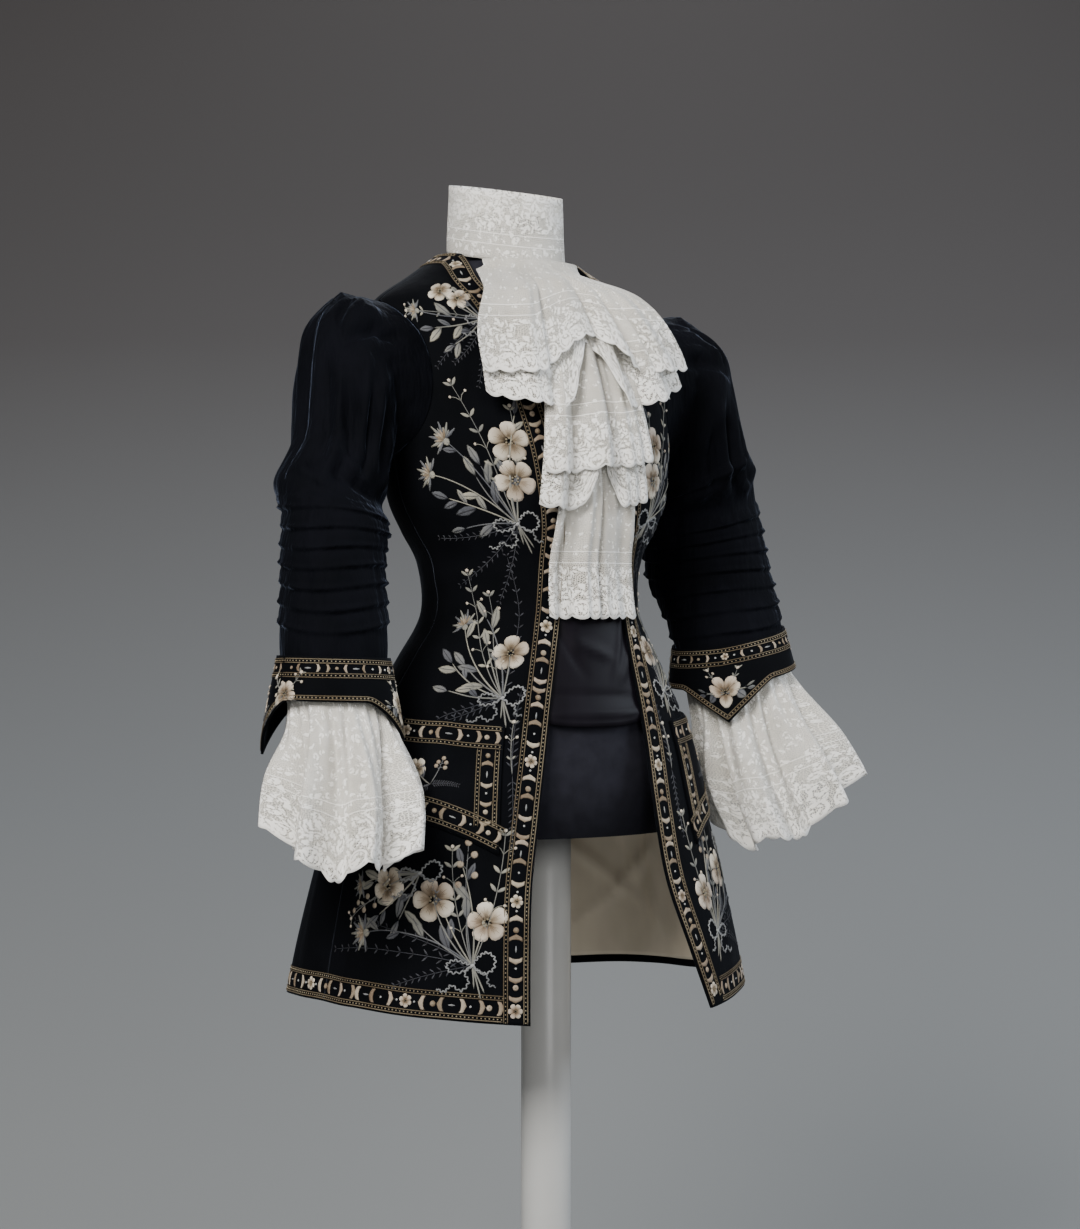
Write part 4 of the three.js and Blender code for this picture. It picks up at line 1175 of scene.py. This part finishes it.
def pressed(outline, around=8, rows=4, dome=1.0, dip=0.0):
    """A shape one unit long from 0 to 1 in x and from -0.5 to 0.5 in y."""
    ball, faces = low_sphere(around, rows)
    x = (ball[:, 0] + 1) / 2
    y = ball[:, 1] * 0.5 * outline(x)
    h = np.where(ball[:, 2] > 0, ball[:, 2] * dome, ball[:, 2] * 0.15)
    h = h - dip * (ball[:, 2] > 0) * np.exp(-(ball[:, 1] / 0.35) ** 2)
    return np.stack([x, y, h], -1), faces


SHAPES = {
    "petal": pressed(lambda x: 0.55 + 0.75 * x, 14, 5, 1.0, 0.30),
    "leaf": pressed(lambda x: np.sqrt(np.maximum(0, 4 * x * (1 - x))) * 1.1, 10, 4, 0.9, 0.3),
    "blade": pressed(lambda x: np.sqrt(np.maximum(0, 4 * x * (1 - x))), 6, 3, 0.8),
    "disc": pressed(lambda x: 1 + 0 * x, 10, 4, 1.0),
    "bead": pressed(lambda x: 1 + 0 * x, 6, 3, 1.0),
}


def bent(shape, turn, thick):
    """A shape bent round a circle one unit across, its back at x = 0 and its horns towards x = 1."""
    points, faces = SHAPES[shape]
    at = (points[:, 0] - 0.5) * math.radians(turn)
    radius = 0.5 + points[:, 1] * thick
    return np.stack([0.5 - radius * np.cos(at), radius * np.sin(at), points[:, 2]], -1), faces


SHAPES["moon"] = bent("leaf", 165, 0.44)
NETS = {}
SAME = 1e-6      # nearer than this is the same place


def tube_net(count, sides):
    """A flat net and its faces, with the last row across welded onto the first, made once per size."""
    if (count, sides) not in NETS:
        bm = bmesh.new()
        bmesh.ops.create_grid(bm, x_segments=count, y_segments=sides, size=0.5)
        net = np.array([vert.co[:2] for vert in bm.verts]) + 0.5
        faces = [[vert.index for vert in face.verts] for face in bm.faces]
        bm.free()
        first = {round(u * count): i for i, (u, v) in enumerate(net) if v < SAME}
        weld = {i: first[round(u * count)] for i, (u, v) in enumerate(net) if v > 1 - SAME}
        NETS[count, sides] = net, [[weld.get(i, i) for i in face] for face in faces]
    return NETS[count, sides]


class Work:
    """Collects stitched shapes by thread; lay turns the flat design into places on the coat."""

    def __init__(self):
        self.parts = {thread: [] for thread in THREADS}
        self.flat = []

    def set(self, thread, points, faces, uv, tone):
        self.flat.append((thread, points, faces, uv, tone))

    def stamp(self, thread, shape, x, y, turn, long, wide, high=0.8, tone=0.5, centred=False,
              fade=0.2):
        """One shape with its foot at (x, y), pointing along turn in degrees."""
        points, faces = SHAPES[shape]
        px, py = (points[:, 0] - 0.5 * centred) * long, points[:, 1] * wide
        c, s = math.cos(math.radians(turn)), math.sin(math.radians(turn))
        placed = np.stack([x + px * c - py * s, y + px * s + py * c, points[:, 2] * high], -1)
        tones = tone + fade * (points[:, 0] - 0.5)
        self.set(thread, placed, faces, np.stack([px, np.abs(py)], -1), tones)

    def line(self, thread, knots, half, high=0.6, tone=0.5, step=3.0, taper=0.0, base=0.0, sides=5):
        """A cord, stem or ribbon through knots, of half width half."""
        knots = np.asarray(knots, float)
        span = len(knots) - 1
        length = np.sum(np.linalg.norm(np.diff(knots, axis=0), axis=1))
        count = max(3, int(length / step))
        net, faces = tube_net(count, sides)
        at = net[:, 0] * span
        cx, cy = spline(knots[:, 0], at), spline(knots[:, 1], at)
        dx, dy = (spline(knots[:, i], at + 0.02) - spline(knots[:, i], at - 0.02) for i in (0, 1))
        size = np.maximum(SAME, np.hypot(dx, dy))
        turn = -2 * np.pi * net[:, 1]
        closed = np.where((net[:, 0] < SAME) | (net[:, 0] > 1 - SAME), 0.02, 1.0)
        grow = half * closed * (1 - taper * net[:, 0])
        off = grow * np.cos(turn)
        h = base + high * closed * (0.5 + 0.5 * np.sin(turn))
        points = np.stack([cx - dy / size * off, cy + dx / size * off, h], -1)
        uv = np.stack([net[:, 0] * length, net[:, 1] * half * 6], -1)
        self.set(thread, points, faces, uv, tone)

    def lay(self, how):
        for thread, points, faces, uv, tone in self.flat:
            placed = how(points[:, 0], points[:, 1], points[:, 2])
            tones = np.broadcast_to(np.asarray(tone, float), len(points))
            self.parts[thread].append((placed, faces, uv, tones))
        self.flat = []

    def finish(self, name, thread):
        """All shapes of one thread as one mesh."""
        points, faces, uv, tones, first = [], [], [], [], 0
        for placed, own, own_uv, own_tones in self.parts[thread]:
            points.append(placed)
            uv.append(own_uv)
            tones.append(own_tones)
            faces.extend([[i + first for i in face] for face in own])
            first += len(placed)
        points, uv, tones = np.concatenate(points) * MM, np.concatenate(uv) * MM, np.concatenate(tones)
        mesh = bpy.data.meshes.new(name)
        mesh.from_pydata(points, [], faces)
        put_uv(mesh, uv)
        mesh.attributes.new("tone", "FLOAT", "POINT").data.foreach_set("value", tones)
        bm = bmesh.new()
        bm.from_mesh(mesh)
        loose = [vert for vert in bm.verts if not vert.link_faces]
        bmesh.ops.delete(bm, geom=loose, context="VERTS")
        bmesh.ops.recalc_face_normals(bm, faces=bm.faces[:])
        bm.to_mesh(mesh)
        bm.free()
        print(name, len(mesh.polygons), "faces")
        link(name, mesh, THREADS[thread])


work = Work()

# %% [markdown]
# ## Borders
#
# Each border is a pair of beaded cords with a row of small motifs between them: crescents turned
# this way and that, silk discs with gold hearts, beads, short bars and now and then a blossom.
# The order is shuffled by rule, so that no stretch repeats the one before.

# %% Border
BORDER_WIDE, NECK_WIDE, FLAP_WIDE, CUFF_WIDE = 26.0, 24.0, 24.0, 20.0     # millimetres
BORDER_EDGE, CORD_GAP, CORD_HALF, CORD_STEP, BEAD_STEP = 1.4, 3.7, 0.5, 4.5, 3.9
BORDER_ORDER = ("moon", "disc", "moon", "bead", "moon", "bar", "back", "disc", "back", "bead", "blossom",
                "bead", "moon", "bead", "back", "bar", "back", "disc")
BORDER_STEP = 9.0
VEINS = ((-24, 0.56), (-14, 0.70), (-5, 0.62), (5, 0.74), (14, 0.60), (23, 0.66))   # lean, reach
VEINED_FROM = 9                     # smaller flowers have no veins


def ray(x, y, turn, reach):
    """The place at a reach from (x, y), in the direction turn in degrees."""
    return x + reach * math.cos(math.radians(turn)), y + reach * math.sin(math.radians(turn))


def blossom(x, y, size, petals=5, tone=0.6, turn=0.0):
    """An open flower of radius size: petals with dark veins, round a gold heart of knots."""
    for k in range(petals):
        at = turn + 360 * k / petals
        shade = tone + 0.10 * math.sin(3.1 * k + x)
        long = (0.90 + 0.05 * math.sin(k + y)) * size
        work.stamp("petal", "petal", *ray(x, y, at, 0.12 * size), at, long,
                   0.88 * size * 5 / petals, 0.5 + 0.05 * size, shade, fade=0.95)
        for lean, reach in VEINS if size > VEINED_FROM else ():
            work.stamp("petal", "blade", *ray(x, y, at, 0.16 * size), at + lean, reach * size,
                       0.06 * size, 0.72 + 0.06 * size, shade - 0.34)
    for k in range(6):
        knot = ray(x, y, 60 * k + 23, 0.15 * size)
        work.stamp("gold", "bead", *knot, 0, 0.13 * size, 0.13 * size, 0.8 + 0.06 * size, 0.8, True)


def border_motif(kind, x, middle, size, tone):
    """One small motif of a border, size across, on its middle line."""
    if kind in ("moon", "back"):
        turn = 0 if kind == "moon" else 180
        work.stamp("petal", "moon", *ray(x, middle, turn, -size / 5), turn, size * 0.8,
                   size * 0.92, 1.0, tone)
    elif kind == "disc":
        work.stamp("petal", "disc", x, middle, 0, size * 0.42, size * 0.42, 0.9, tone - 0.1, True)
        work.stamp("gold", "bead", x, middle, 0, size * 0.2, size * 0.2, 1.3, 0.9, True)
    elif kind == "blossom":
        blossom(x, middle, size * 0.46, 6, 0.5, 18)
    elif kind == "bar":
        work.stamp("ribbon", "blade", x, middle, 0, BORDER_STEP * 0.95, 2.0, 0.8, 0.4, True)
    else:
        work.stamp("ribbon", "bead", x, middle, 0, 2.6, 2.6, 1.0, 0.8, True)


def border(how, length, wide=BORDER_WIDE, begin=0.0, end=0.0, corner=False):
    """One border along a band, from begin to that far before its end."""
    inner, outer, last = BORDER_EDGE, wide - BORDER_EDGE, length - end
    for y in (inner, inner + CORD_GAP, outer - CORD_GAP, outer):
        knots = [(x, y) for x in np.linspace(begin, last, max(3, int((last - begin) / 14)))]
        work.line("gold", knots, CORD_HALF, 1.0, 0.45 + 0.1 * (y < wide / 2), CORD_STEP)
    for y in (inner + CORD_GAP / 2, outer - CORD_GAP / 2):
        for x in np.arange(begin + 2.0, last - 1, BEAD_STEP):
            work.stamp("gold", "bead", x, y, 0, 1.7, 1.7, 0.8, 0.85, True)
    first = begin + BORDER_STEP * 0.6
    if corner:
        blossom(wide / 2, wide / 2, wide * 0.28, 6, 0.5, 30)
        first = begin + wide
    middle = wide / 2
    size = 2 * (middle - CORD_GAP - 2.2)
    for k, x in enumerate(np.arange(first, last - BORDER_STEP * 0.5, BORDER_STEP)):
        kind = BORDER_ORDER[(k + 3 * (k // 17)) % len(BORDER_ORDER)]
        border_motif(kind, x, middle, size, 0.46 + 0.16 * math.sin(1.7 * k))
    work.lay(how)


BODY_STEP = (0.5, 0.02)
EDGE_INSET = 0.35
body_face = lambda p, q, h: coat(p, q, 0.05 + h)
total = 0.0
for word, side in SIDES:
    levels = np.linspace(0.02, TOP_LEVEL - 0.05, 220)
    front = side * (front_edge(side, levels) + EDGE_INSET)
    hem = np.linspace(front_edge(side, 0.0) + EDGE_INSET, 177.0, 220) * side
    neck = np.linspace(front_edge(side, TOP_LEVEL) + 3, 179.0, 90) * side
    for line_p, line_q, inward, options in (
        (front, levels, -side, {"corner": True}),
        (hem, 0.03 + 0 * hem, side, {"begin": BORDER_WIDE - BORDER_EDGE}),
        (neck, TOP_LEVEL - 0.05 + 0 * neck, -side, {"wide": NECK_WIDE}),
    ):
        how, length = band(body_face, line_p, line_q, *BODY_STEP, inward=inward)
        border(how, length, **options)
        total += length
print("borders of the body", round(total), "mm")

# %% Borders of flaps and cuffs
LIFT = 0.05      # stitches start this far out from the velvet, in millimetres
flap_face = lambda p, q, h: coat(p, q, FLAP_OUT + LIFT + h)
for word, side in SIDES:
    reach = np.linspace(0.02, 0.98, 60)
    runs = (
        (flap_place(side, 1 - reach, 0.985), -side, 0.0),
        (flap_place(side, 0.985 + 0 * reach, reach), -side, FLAP_WIDE - BORDER_EDGE),
        (flap_place(side, 1 - reach, 0.02), side, 0.0),
    )
    for (line_p, line_q), inward, begin in runs:
        how, length = band(flap_face, line_p, line_q, *BODY_STEP, inward=inward)
        border(how, length, wide=FLAP_WIDE, begin=begin, end=begin)
    cuff_face = lambda p, q, h: cuff_point(side, p, q, h + LIFT)
    turn = np.linspace(0, 360, 181)
    how, length = band(cuff_face, turn, 0.03 + 0 * turn, 1.0, 0.02, inward=1)
    border(how, length, wide=CUFF_WIDE)
    how, length = band(cuff_face, turn, 0.985 + 0 * turn, 1.0, 0.02, inward=-1)
    for y in (1.2, 4.6):
        knots = [(x, y) for x in np.linspace(0, length, 60)]
        work.line("gold", knots, CORD_HALF, 1.0, 0.5, CORD_STEP)
    for x in np.arange(2, length - 2, BEAD_STEP):
        work.stamp("gold", "bead", x, 2.9, 0, 2.1, 2.0, 0.8, 0.8, True)
    work.lay(how)
print("flaps and cuffs bordered")

# %% [markdown]
# ## Sprays
#
# Between the borders lie sprays of flowers tied with ribbon. Each spray is a table of branches
# that leave one knot: a heading, a length, a bend, what grows at the tip and how many leaves the
# branch carries. The tables are drawn up for this coat. Both fronts use them, each with its own
# places, sizes and leans.

# %% Growth
def curve(heading, length, bend, count=7, x=0.0, y=0.0):
    """Knots of a branch that leaves (x, y) at a heading (0 up, positive to the right)."""
    knots, at = [(x, y)], math.radians(heading)
    for _ in range(count - 1):
        at += math.radians(bend) / (count - 1)
        x += math.sin(at) * length / (count - 1)
        y += math.cos(at) * length / (count - 1)
        knots.append((x, y))
    return knots


def heading_of(knots, k):
    (x0, y0), (x1, y1) = knots[max(0, k - 1)], knots[min(len(knots) - 1, k + 1)]
    return math.degrees(math.atan2(y1 - y0, x1 - x0))


def leaf(x, y, turn, size, tone, wide=0.34):
    """A leaf in two halves of satin stitch, with a thin vein."""
    work.stamp("leaf", "leaf", x, y, turn, size, size * wide, 0.9, tone)
    vein = [ray(x, y, turn, size * part) for part in (0, 0.45, 0.92)]
    work.line("leaf", vein, 0.3, 1.25, tone - 0.4, 4.0)


def thistle(x, y, turn, size):
    """A cornflower: two fans of narrow rays over a scaled cup."""
    for k in range(13):
        at = turn + (k - 6) * 16
        reach = size * (1.0 - 0.3 * (k % 2) - 0.02 * abs(k - 6))
        work.stamp("leaf", "blade", x, y, at, reach, size * 0.17, 0.9 - 0.3 * (k % 2),
                   0.42 + 0.12 * (k % 4))
    for k in range(5):
        work.stamp("petal", "blade", x, y, turn + (k - 2) * 25, size * 0.55, size * 0.17, 1.3,
                   0.22 + 0.1 * (k % 3))
    work.stamp("leaf", "leaf", *ray(x, y, turn, size * 0.1), turn + 180, size * 0.42,
               size * 0.36, 1.4, 0.75)


def along(knots, part):
    """Place and direction at a part, from 0 to 1, of a branch."""
    at = part * (len(knots) - 1)
    k = min(int(at), len(knots) - 2)
    (x0, y0), (x1, y1) = knots[k], knots[k + 1]
    return x0 + (x1 - x0) * (at - k), y0 + (y1 - y0) * (at - k), heading_of(knots, k)


def fern(knots, size):
    """A thin dark stem with pairs of narrow leaflets."""
    work.line("leaf", knots, 0.45, 0.6, 0.16, 4.0, taper=0.5)
    for k in range(1, len(knots)):
        x, y = knots[k]
        turn = heading_of(knots, k)
        shrink = 1 - 0.5 * k / len(knots)
        for lean in (-50, 46):
            work.stamp("leaf", "blade", x, y, turn + lean, size * shrink, size * 0.2, 0.5,
                       0.04 + 0.12 * ((k + lean) % 2))


def twig(knots, size, pairs, row):
    """A thin stem with small leaves on both sides and a bead at the end of some."""
    work.line("leaf", knots, 0.6, 0.8, 0.6, 4.0, taper=0.4)
    for k in range(pairs):
        x, y, turn = along(knots, 0.28 + 0.68 * k / max(1, pairs - 1))
        for lean in (-52, 48):
            if (k + row) % 3 == 0:
                tip = ray(x, y, turn + lean, size * 1.15)
                elbow = ray(x, y, turn + lean * 0.7, size * 0.6)
                work.line("leaf", [(x, y), elbow, tip], 0.4, 0.7, 0.7, 3.0)
                work.stamp("petal", "bead", *tip, 0, 3.6, 3.6, 1.5, 0.75, True)
            else:
                work.stamp("leaf", "leaf", x, y, turn + lean, size, size * 0.33, 0.9,
                           0.55 + 0.15 * ((k + row) % 3))
    x, y, turn = along(knots, 1.0)
    work.stamp("petal", "bead", x, y, 0, 4.4, 4.4, 1.6, 0.85, True)


def berries(knots, size):
    """A small cluster of round berries with gold eyes, each on its stalk."""
    work.line("leaf", knots, 0.6, 0.8, 0.5, 4.0, taper=0.4)
    for k in range(5):
        x, y, turn = along(knots, 0.66 + 0.085 * k)
        tip = ray(x, y, turn + (50, -54, 40, -42, 0)[k], size * 1.6)
        work.line("leaf", [(x, y), ray(x, y, turn, size * 0.5), tip], 0.4, 0.7, 0.5, 3.0)
        work.stamp("petal", "disc", *tip, 0, size * 1.25, size * 1.25, 1.2, 0.42, True)
        work.stamp("gold", "bead", *tip, 0, size * 0.45, size * 0.45, 1.5, 0.8, True)


def stalk(knots, scale, tip, size, leaves, row):
    """A stem with alternate leaves, and a flower or a leaf at its tip."""
    tone = 0.62 + 0.2 * math.sin(row * 2.3)
    work.line("leaf", knots, 0.95 * scale ** 0.5, 0.9, tone, 4.0, taper=0.4)
    for k in range(leaves):
        x, y, turn = along(knots, 0.42 + 0.42 * k / max(1, leaves - 1))
        lean = 36 if (k + row) % 2 else -38
        leaf(x, y, turn + lean, scale * (22 + 5 * math.sin(2.1 * k + row)),
             0.30 + 0.17 * ((2 * k + row) % 4))
    x, y, turn = along(knots, 1.0)
    if tip == "blossom":
        blossom(x, y, size, 5, 0.52 + 0.08 * math.sin(2 * row), turn + 30 * row)
    elif tip == "thistle":
        thistle(x, y, turn, size)
    else:
        leaf(x, y, turn, size, 0.34 + 0.19 * (row % 3))


def grow(branches, scale):
    """All branches of a spray from its knot at (0, 0)."""
    for row, (heading, length, bend, tip, size, leaves) in enumerate(branches):
        knots = curve(heading, length * scale, bend, 13 if tip == "fern" else 7)
        size = size * scale
        if tip == "fern":
            fern(knots, size)
        elif tip == "twig":
            twig(knots, size, leaves, row)
        elif tip == "berries":
            berries(knots, size)
        else:
            stalk(knots, scale, tip, size, leaves, row)


def squiggle(knots, wave, pitch):
    """The line through knots with small even waves, as looped purl makes it."""
    knots = np.asarray(knots, float)
    length = np.sum(np.linalg.norm(np.diff(knots, axis=0), axis=1))
    at = np.linspace(0, len(knots) - 1, int(length / pitch * 4) + 2)
    x, y = spline(knots[:, 0], at), spline(knots[:, 1], at)
    dx, dy = np.gradient(x), np.gradient(y)
    size = np.maximum(SAME, np.hypot(dx, dy))
    off = wave * np.sin(at / at[-1] * length / pitch * 2 * np.pi)
    return np.stack([x - dy / size * off, y + dx / size * off], -1)


BOW = (   # loops and tails from the knot, in millimetres
    ((0, 0), (7, 10), (17, 16), (27, 9), (25, -4), (13, -9), (0, 0)),
    ((0, 0), (-10, 3), (-22, 6), (-31, 0), (-26, -9), (-12, -8), (0, 0)),
    ((0, 0), (-9, -9), (-4, -20), (-13, -31), (-25, -25), (-33, -33), (-43, -30)),
    ((0, 0), (8, -7), (18, -12), (20, -22), (29, -24)),
)


def bow(scale, lean=0.0):
    """A tied ribbon of looped silver purl, and the stems' cut ends below the knot."""
    for k, knots in enumerate(BOW):
        placed = squiggle(np.array(knots) * scale, 1.2, 4.6)
        work.line("ribbon", placed, 0.8, 1.0, 0.5 - 0.1 * k, 1.4, base=0.3, sides=4)
    for heading, length in ((162 + lean, 42), (152 + lean, 36), (172 + lean, 28)):
        work.line("leaf", curve(heading, length * scale, 4, 4), 1.0, 0.9, 0.7, 4.0, taper=0.2)
    work.stamp("ribbon", "disc", 0, 0, 30, 7 * scale, 5 * scale, 1.8, 0.8, True)


SPRAYS = {   # heading, length, bend, tip, size of the tip, leaves on the branch
    "shoulder": (
        (-62, 60, 14, "blossom", 15, 0), (-50, 36, 10, "blossom", 14, 0), (-92, 78, 14, "thistle", 18, 1),
        (-112, 60, 18, "leaf", 20, 3), (-140, 50, 20, "leaf", 16, 2), (-24, 44, -24, "leaf", 15, 1),
        (-78, 92, -12, "twig", 8, 4), (-156, 66, 30, "fern", 8, 0), (-124, 84, -12, "fern", 8, 0),
        (-172, 78, 14, "fern", 7, 0),
    ),
    "chest": (
        (-8, 83, 8, "blossom", 21, 1), (10, 45, -16, "blossom", 21, 0), (-28, 108, -26, "thistle", 23, 2),
        (-42, 104, -40, "thistle", 22, 1), (-16, 154, -14, "twig", 11, 7), (6, 120, -12, "twig", 9, 4),
        (-66, 74, -14, "leaf", 22, 4), (-26, 66, -10, "leaf", 24, 0), (-52, 60, 18, "leaf", 24, 1),
        (-14, 112, 26, "leaf", 18, 2), (-150, 96, 26, "fern", 8, 0), (-172, 84, 14, "fern", 8, 0),
        (-118, 92, 26, "fern", 8, 0), (-88, 56, -20, "leaf", 18, 1),
    ),
    "waist": (
        (10, 48, -10, "blossom", 19, 0), (-50, 100, 34, "thistle", 20, 2), (-36, 148, 36, "twig", 10, 7),
        (-72, 74, 34, "leaf", 24, 3), (-88, 60, 20, "leaf", 22, 1), (2, 94, -30, "leaf", 22, 2),
        (-20, 118, 18, "twig", 9, 5), (-56, 58, 16, "leaf", 24, 1), (-98, 112, -14, "fern", 9, 0),
        (10, 150, -12, "fern", 9, 0), (-112, 84, 10, "fern", 9, 0), (-24, 62, 8, "leaf", 22, 0),
    ),
    "verge": (
        (-3, 84, 8, "fern", 9, 0), (176, 74, 6, "fern", 8, 0), (-10, 52, 14, "twig", 6, 3),
    ),
    "flap": (
        (-66, 26, 30, "blossom", 12, 1), (34, 24, -20, "berries", 4, 0), (-104, 40, -20, "leaf", 13, 2),
        (78, 30, 24, "fern", 6, 0), (-130, 34, 20, "fern", 6, 0),
    ),
    "under flap": (
        (-104, 40, -12, "blossom", 20, 0), (-142, 64, 14, "leaf", 24, 3), (-122, 88, 10, "berries", 5, 0),
        (-88, 78, -22, "thistle", 19, 1), (-164, 52, 10, "leaf", 20, 1), (-80, 60, -36, "leaf", 20, 2),
        (-112, 104, -12, "twig", 9, 4),
    ),
    "skirt": (
        (-54, 74, 38, "blossom", 21, 1), (12, 43, 10, "blossom", 20, 0), (-46, 126, -54, "thistle", 24, 3),
        (-24, 116, 22, "twig", 10, 6), (-12, 108, 14, "berries", 6, 0), (26, 132, -24, "twig", 11, 6),
        (-38, 54, 14, "leaf", 26, 0), (-20, 44, 20, "leaf", 26, 0), (-64, 62, 16, "leaf", 24, 1),
        (-76, 170, -22, "fern", 10, 0), (-100, 86, -14, "fern", 9, 0), (-58, 140, -30, "fern", 9, 0),
        (8, 96, -26, "leaf", 20, 3),
    ),
}
PLACES = (   # spray, side, angle, level, scale, lean of the cut stems, turn of the whole
    ("shoulder", -1, 33.0, 13.5, 0.95, 0, 0), ("chest", -1, 33.5, 9.15, 0.98, 0, 5),
    ("waist", -1, 37.5, 5.10, 0.96, 0, -7), ("flap", -1, 57.0, 3.45, 0.9, 0, 0),
    ("under flap", -1, 57.0, 2.2, 0.95, 110, 0), ("skirt", -1, 41.5, 0.90, 1.0, 0, 0),
    ("verge", -1, 31.5, 3.6, 1.0, 0, 0), ("verge", 1, 29.0, 3.6, 0.9, 0, 0),
    ("shoulder", 1, 34.5, 13.45, 0.92, 6, 0), ("chest", 1, 35.5, 9.35, 0.92, -8, 4),
    ("waist", 1, 39.5, 5.2, 0.9, 8, -4), ("flap", 1, 57.0, 3.45, 0.9, 0, 0),
    ("under flap", 1, 57.0, 2.4, 0.9, 104, 0), ("skirt", 1, 38.0, 1.15, 0.96, 6, 0),
)

# %% Sprays on the fronts
for name, side, angle, level, scale, lean, turned in PLACES:
    face = flap_face if name == "flap" else body_face
    grow([(branch[0] + turned, *branch[1:]) for branch in SPRAYS[name]], scale)
    if name not in ("flap", "verge"):
        bow(scale * (0.6 if name == "shoulder" else 0.78), lean)
    work.lay(patch(face, side * angle, level, BODY_STEP, (0.02, TOP_LEVEL - 0.02), mirror=-side))
print(len(PLACES), "sprays laid")

# %% Sprays on the cuffs
CUFF_SPRAYS = (   # direction, part of the cuff's height, size of the flower
    (42, 0.62, 17), (352, 0.84, 13), (225, 0.62, 17), (130, 0.76, 13),
)
CUFF_BRANCHES = (
    (-74, 32, 30, "leaf", 14, 1), (78, 32, -28, "leaf", 14, 1), (-122, 32, -30, "twig", 7, 3),
    (124, 30, 30, "twig", 7, 3), (-40, 30, -40, "leaf", 12, 0), (44, 30, 40, "leaf", 12, 0),
)
for word, side in SIDES:
    cuff_face = lambda p, q, h: cuff_point(side, p, np.clip(q, 0.01, 0.99), h + LIFT)
    for direction, part, size in CUFF_SPRAYS:
        grow(CUFF_BRANCHES, 0.85)
        blossom(0, 0, size, 5, 0.55, 18)
        work.lay(patch(cuff_face, direction, part, (1.0, 0.02), (0.01, 0.99)))
print("cuff sprays laid")

# %% Finish the embroidery
for thread in THREADS:
    work.finish("embroidered_" + thread, thread)

# %% [markdown]
# ## Floor and measure
#
# The floor isn't part of the coat. It is one sheet of studio paper that runs back behind the coat
# and curves up into a wall, so no corner is seen. Its grey is painted darker with height: painted
# shade that stands for the lamps' light falling off up the wall. Last, the finished model's box is
# compared with the CAD box: cloth may stand a little proud of its solids, and no more than that.

# %% Floor
SWEEP_NEAR, SWEEP_FAR, SWEEP_BEND, SWEEP_HIGH, SWEEP_HALF = -4.5, 1.1, 1.8, 3.6, 7.0
# Painted shade: the paper is painted darker as it rises, over this height.
PAPER_SHADE_RISE = 2.6             # the height over which the paper turns darker
bm = bmesh.new()
bmesh.ops.create_grid(bm, x_segments=1, y_segments=90, size=0.5)
flat_run, bend_run = SWEEP_FAR - SWEEP_NEAR, SWEEP_BEND * math.pi / 2
for vert in bm.verts:
    across = 2 * vert.co.x * SWEEP_HALF
    run = (vert.co.y + 0.5) * (flat_run + bend_run + SWEEP_HIGH)
    turn = min(max(run - flat_run, 0), bend_run) / SWEEP_BEND
    away = SWEEP_NEAR + min(run, flat_run) + SWEEP_BEND * math.sin(turn)
    up = SWEEP_BEND * (1 - math.cos(turn)) + max(0, run - flat_run - bend_run)
    vert.co = (look.x * away + look.y * across, look.y * away - look.x * across, up)
bmesh.ops.recalc_face_normals(bm, faces=bm.faces[:])
mesh = mesh_of("floor", bm)
mesh.polygons.foreach_set("use_smooth", [True] * len(mesh.polygons))
floor = bpy.data.objects.new("floor", mesh)
bpy.context.scene.collection.objects.link(floor)
paper = Finish("floor_paper_painted_shade", Roughness=0.85, Specular_IOR_Level=0.1)
paper_height = paper.add("SeparateXYZ", Vector=spot(paper)).outputs[2]
# The paper's tone is a faint random mottle, plus painted shade that grows with height.
paper_mottle_and_painted_shade = paper.math("MULTIPLY_ADD", paper.noise(spot(paper), 1.5), 0.02,
                        paper.math("DIVIDE", paper_height, PAPER_SHADE_RISE))
# Greys from the floor up the wall; the darker greys are painted shade.
PAPER_GREY_TO_PAINTED_SHADE = [(0.0, "#878887"), (0.25, "#737576"), (0.6, "#504e4e"), (1.0, "#3f3c3b")]
paper_grey_with_painted_shade = paper.ramp(paper_mottle_and_painted_shade, PAPER_GREY_TO_PAINTED_SHADE)
paper.put(paper.shader, {"Base Color": paper_grey_with_painted_shade})
floor.data.materials.append(paper.material)
floor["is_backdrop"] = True

# %% Size
made_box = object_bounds()
grown = [round(1000 * (made_box[1][i] - made_box[0][i] - cad_box[1][i] + cad_box[0][i]), 1)
         for i in range(3)]
print("box is larger by", grown, "mm")
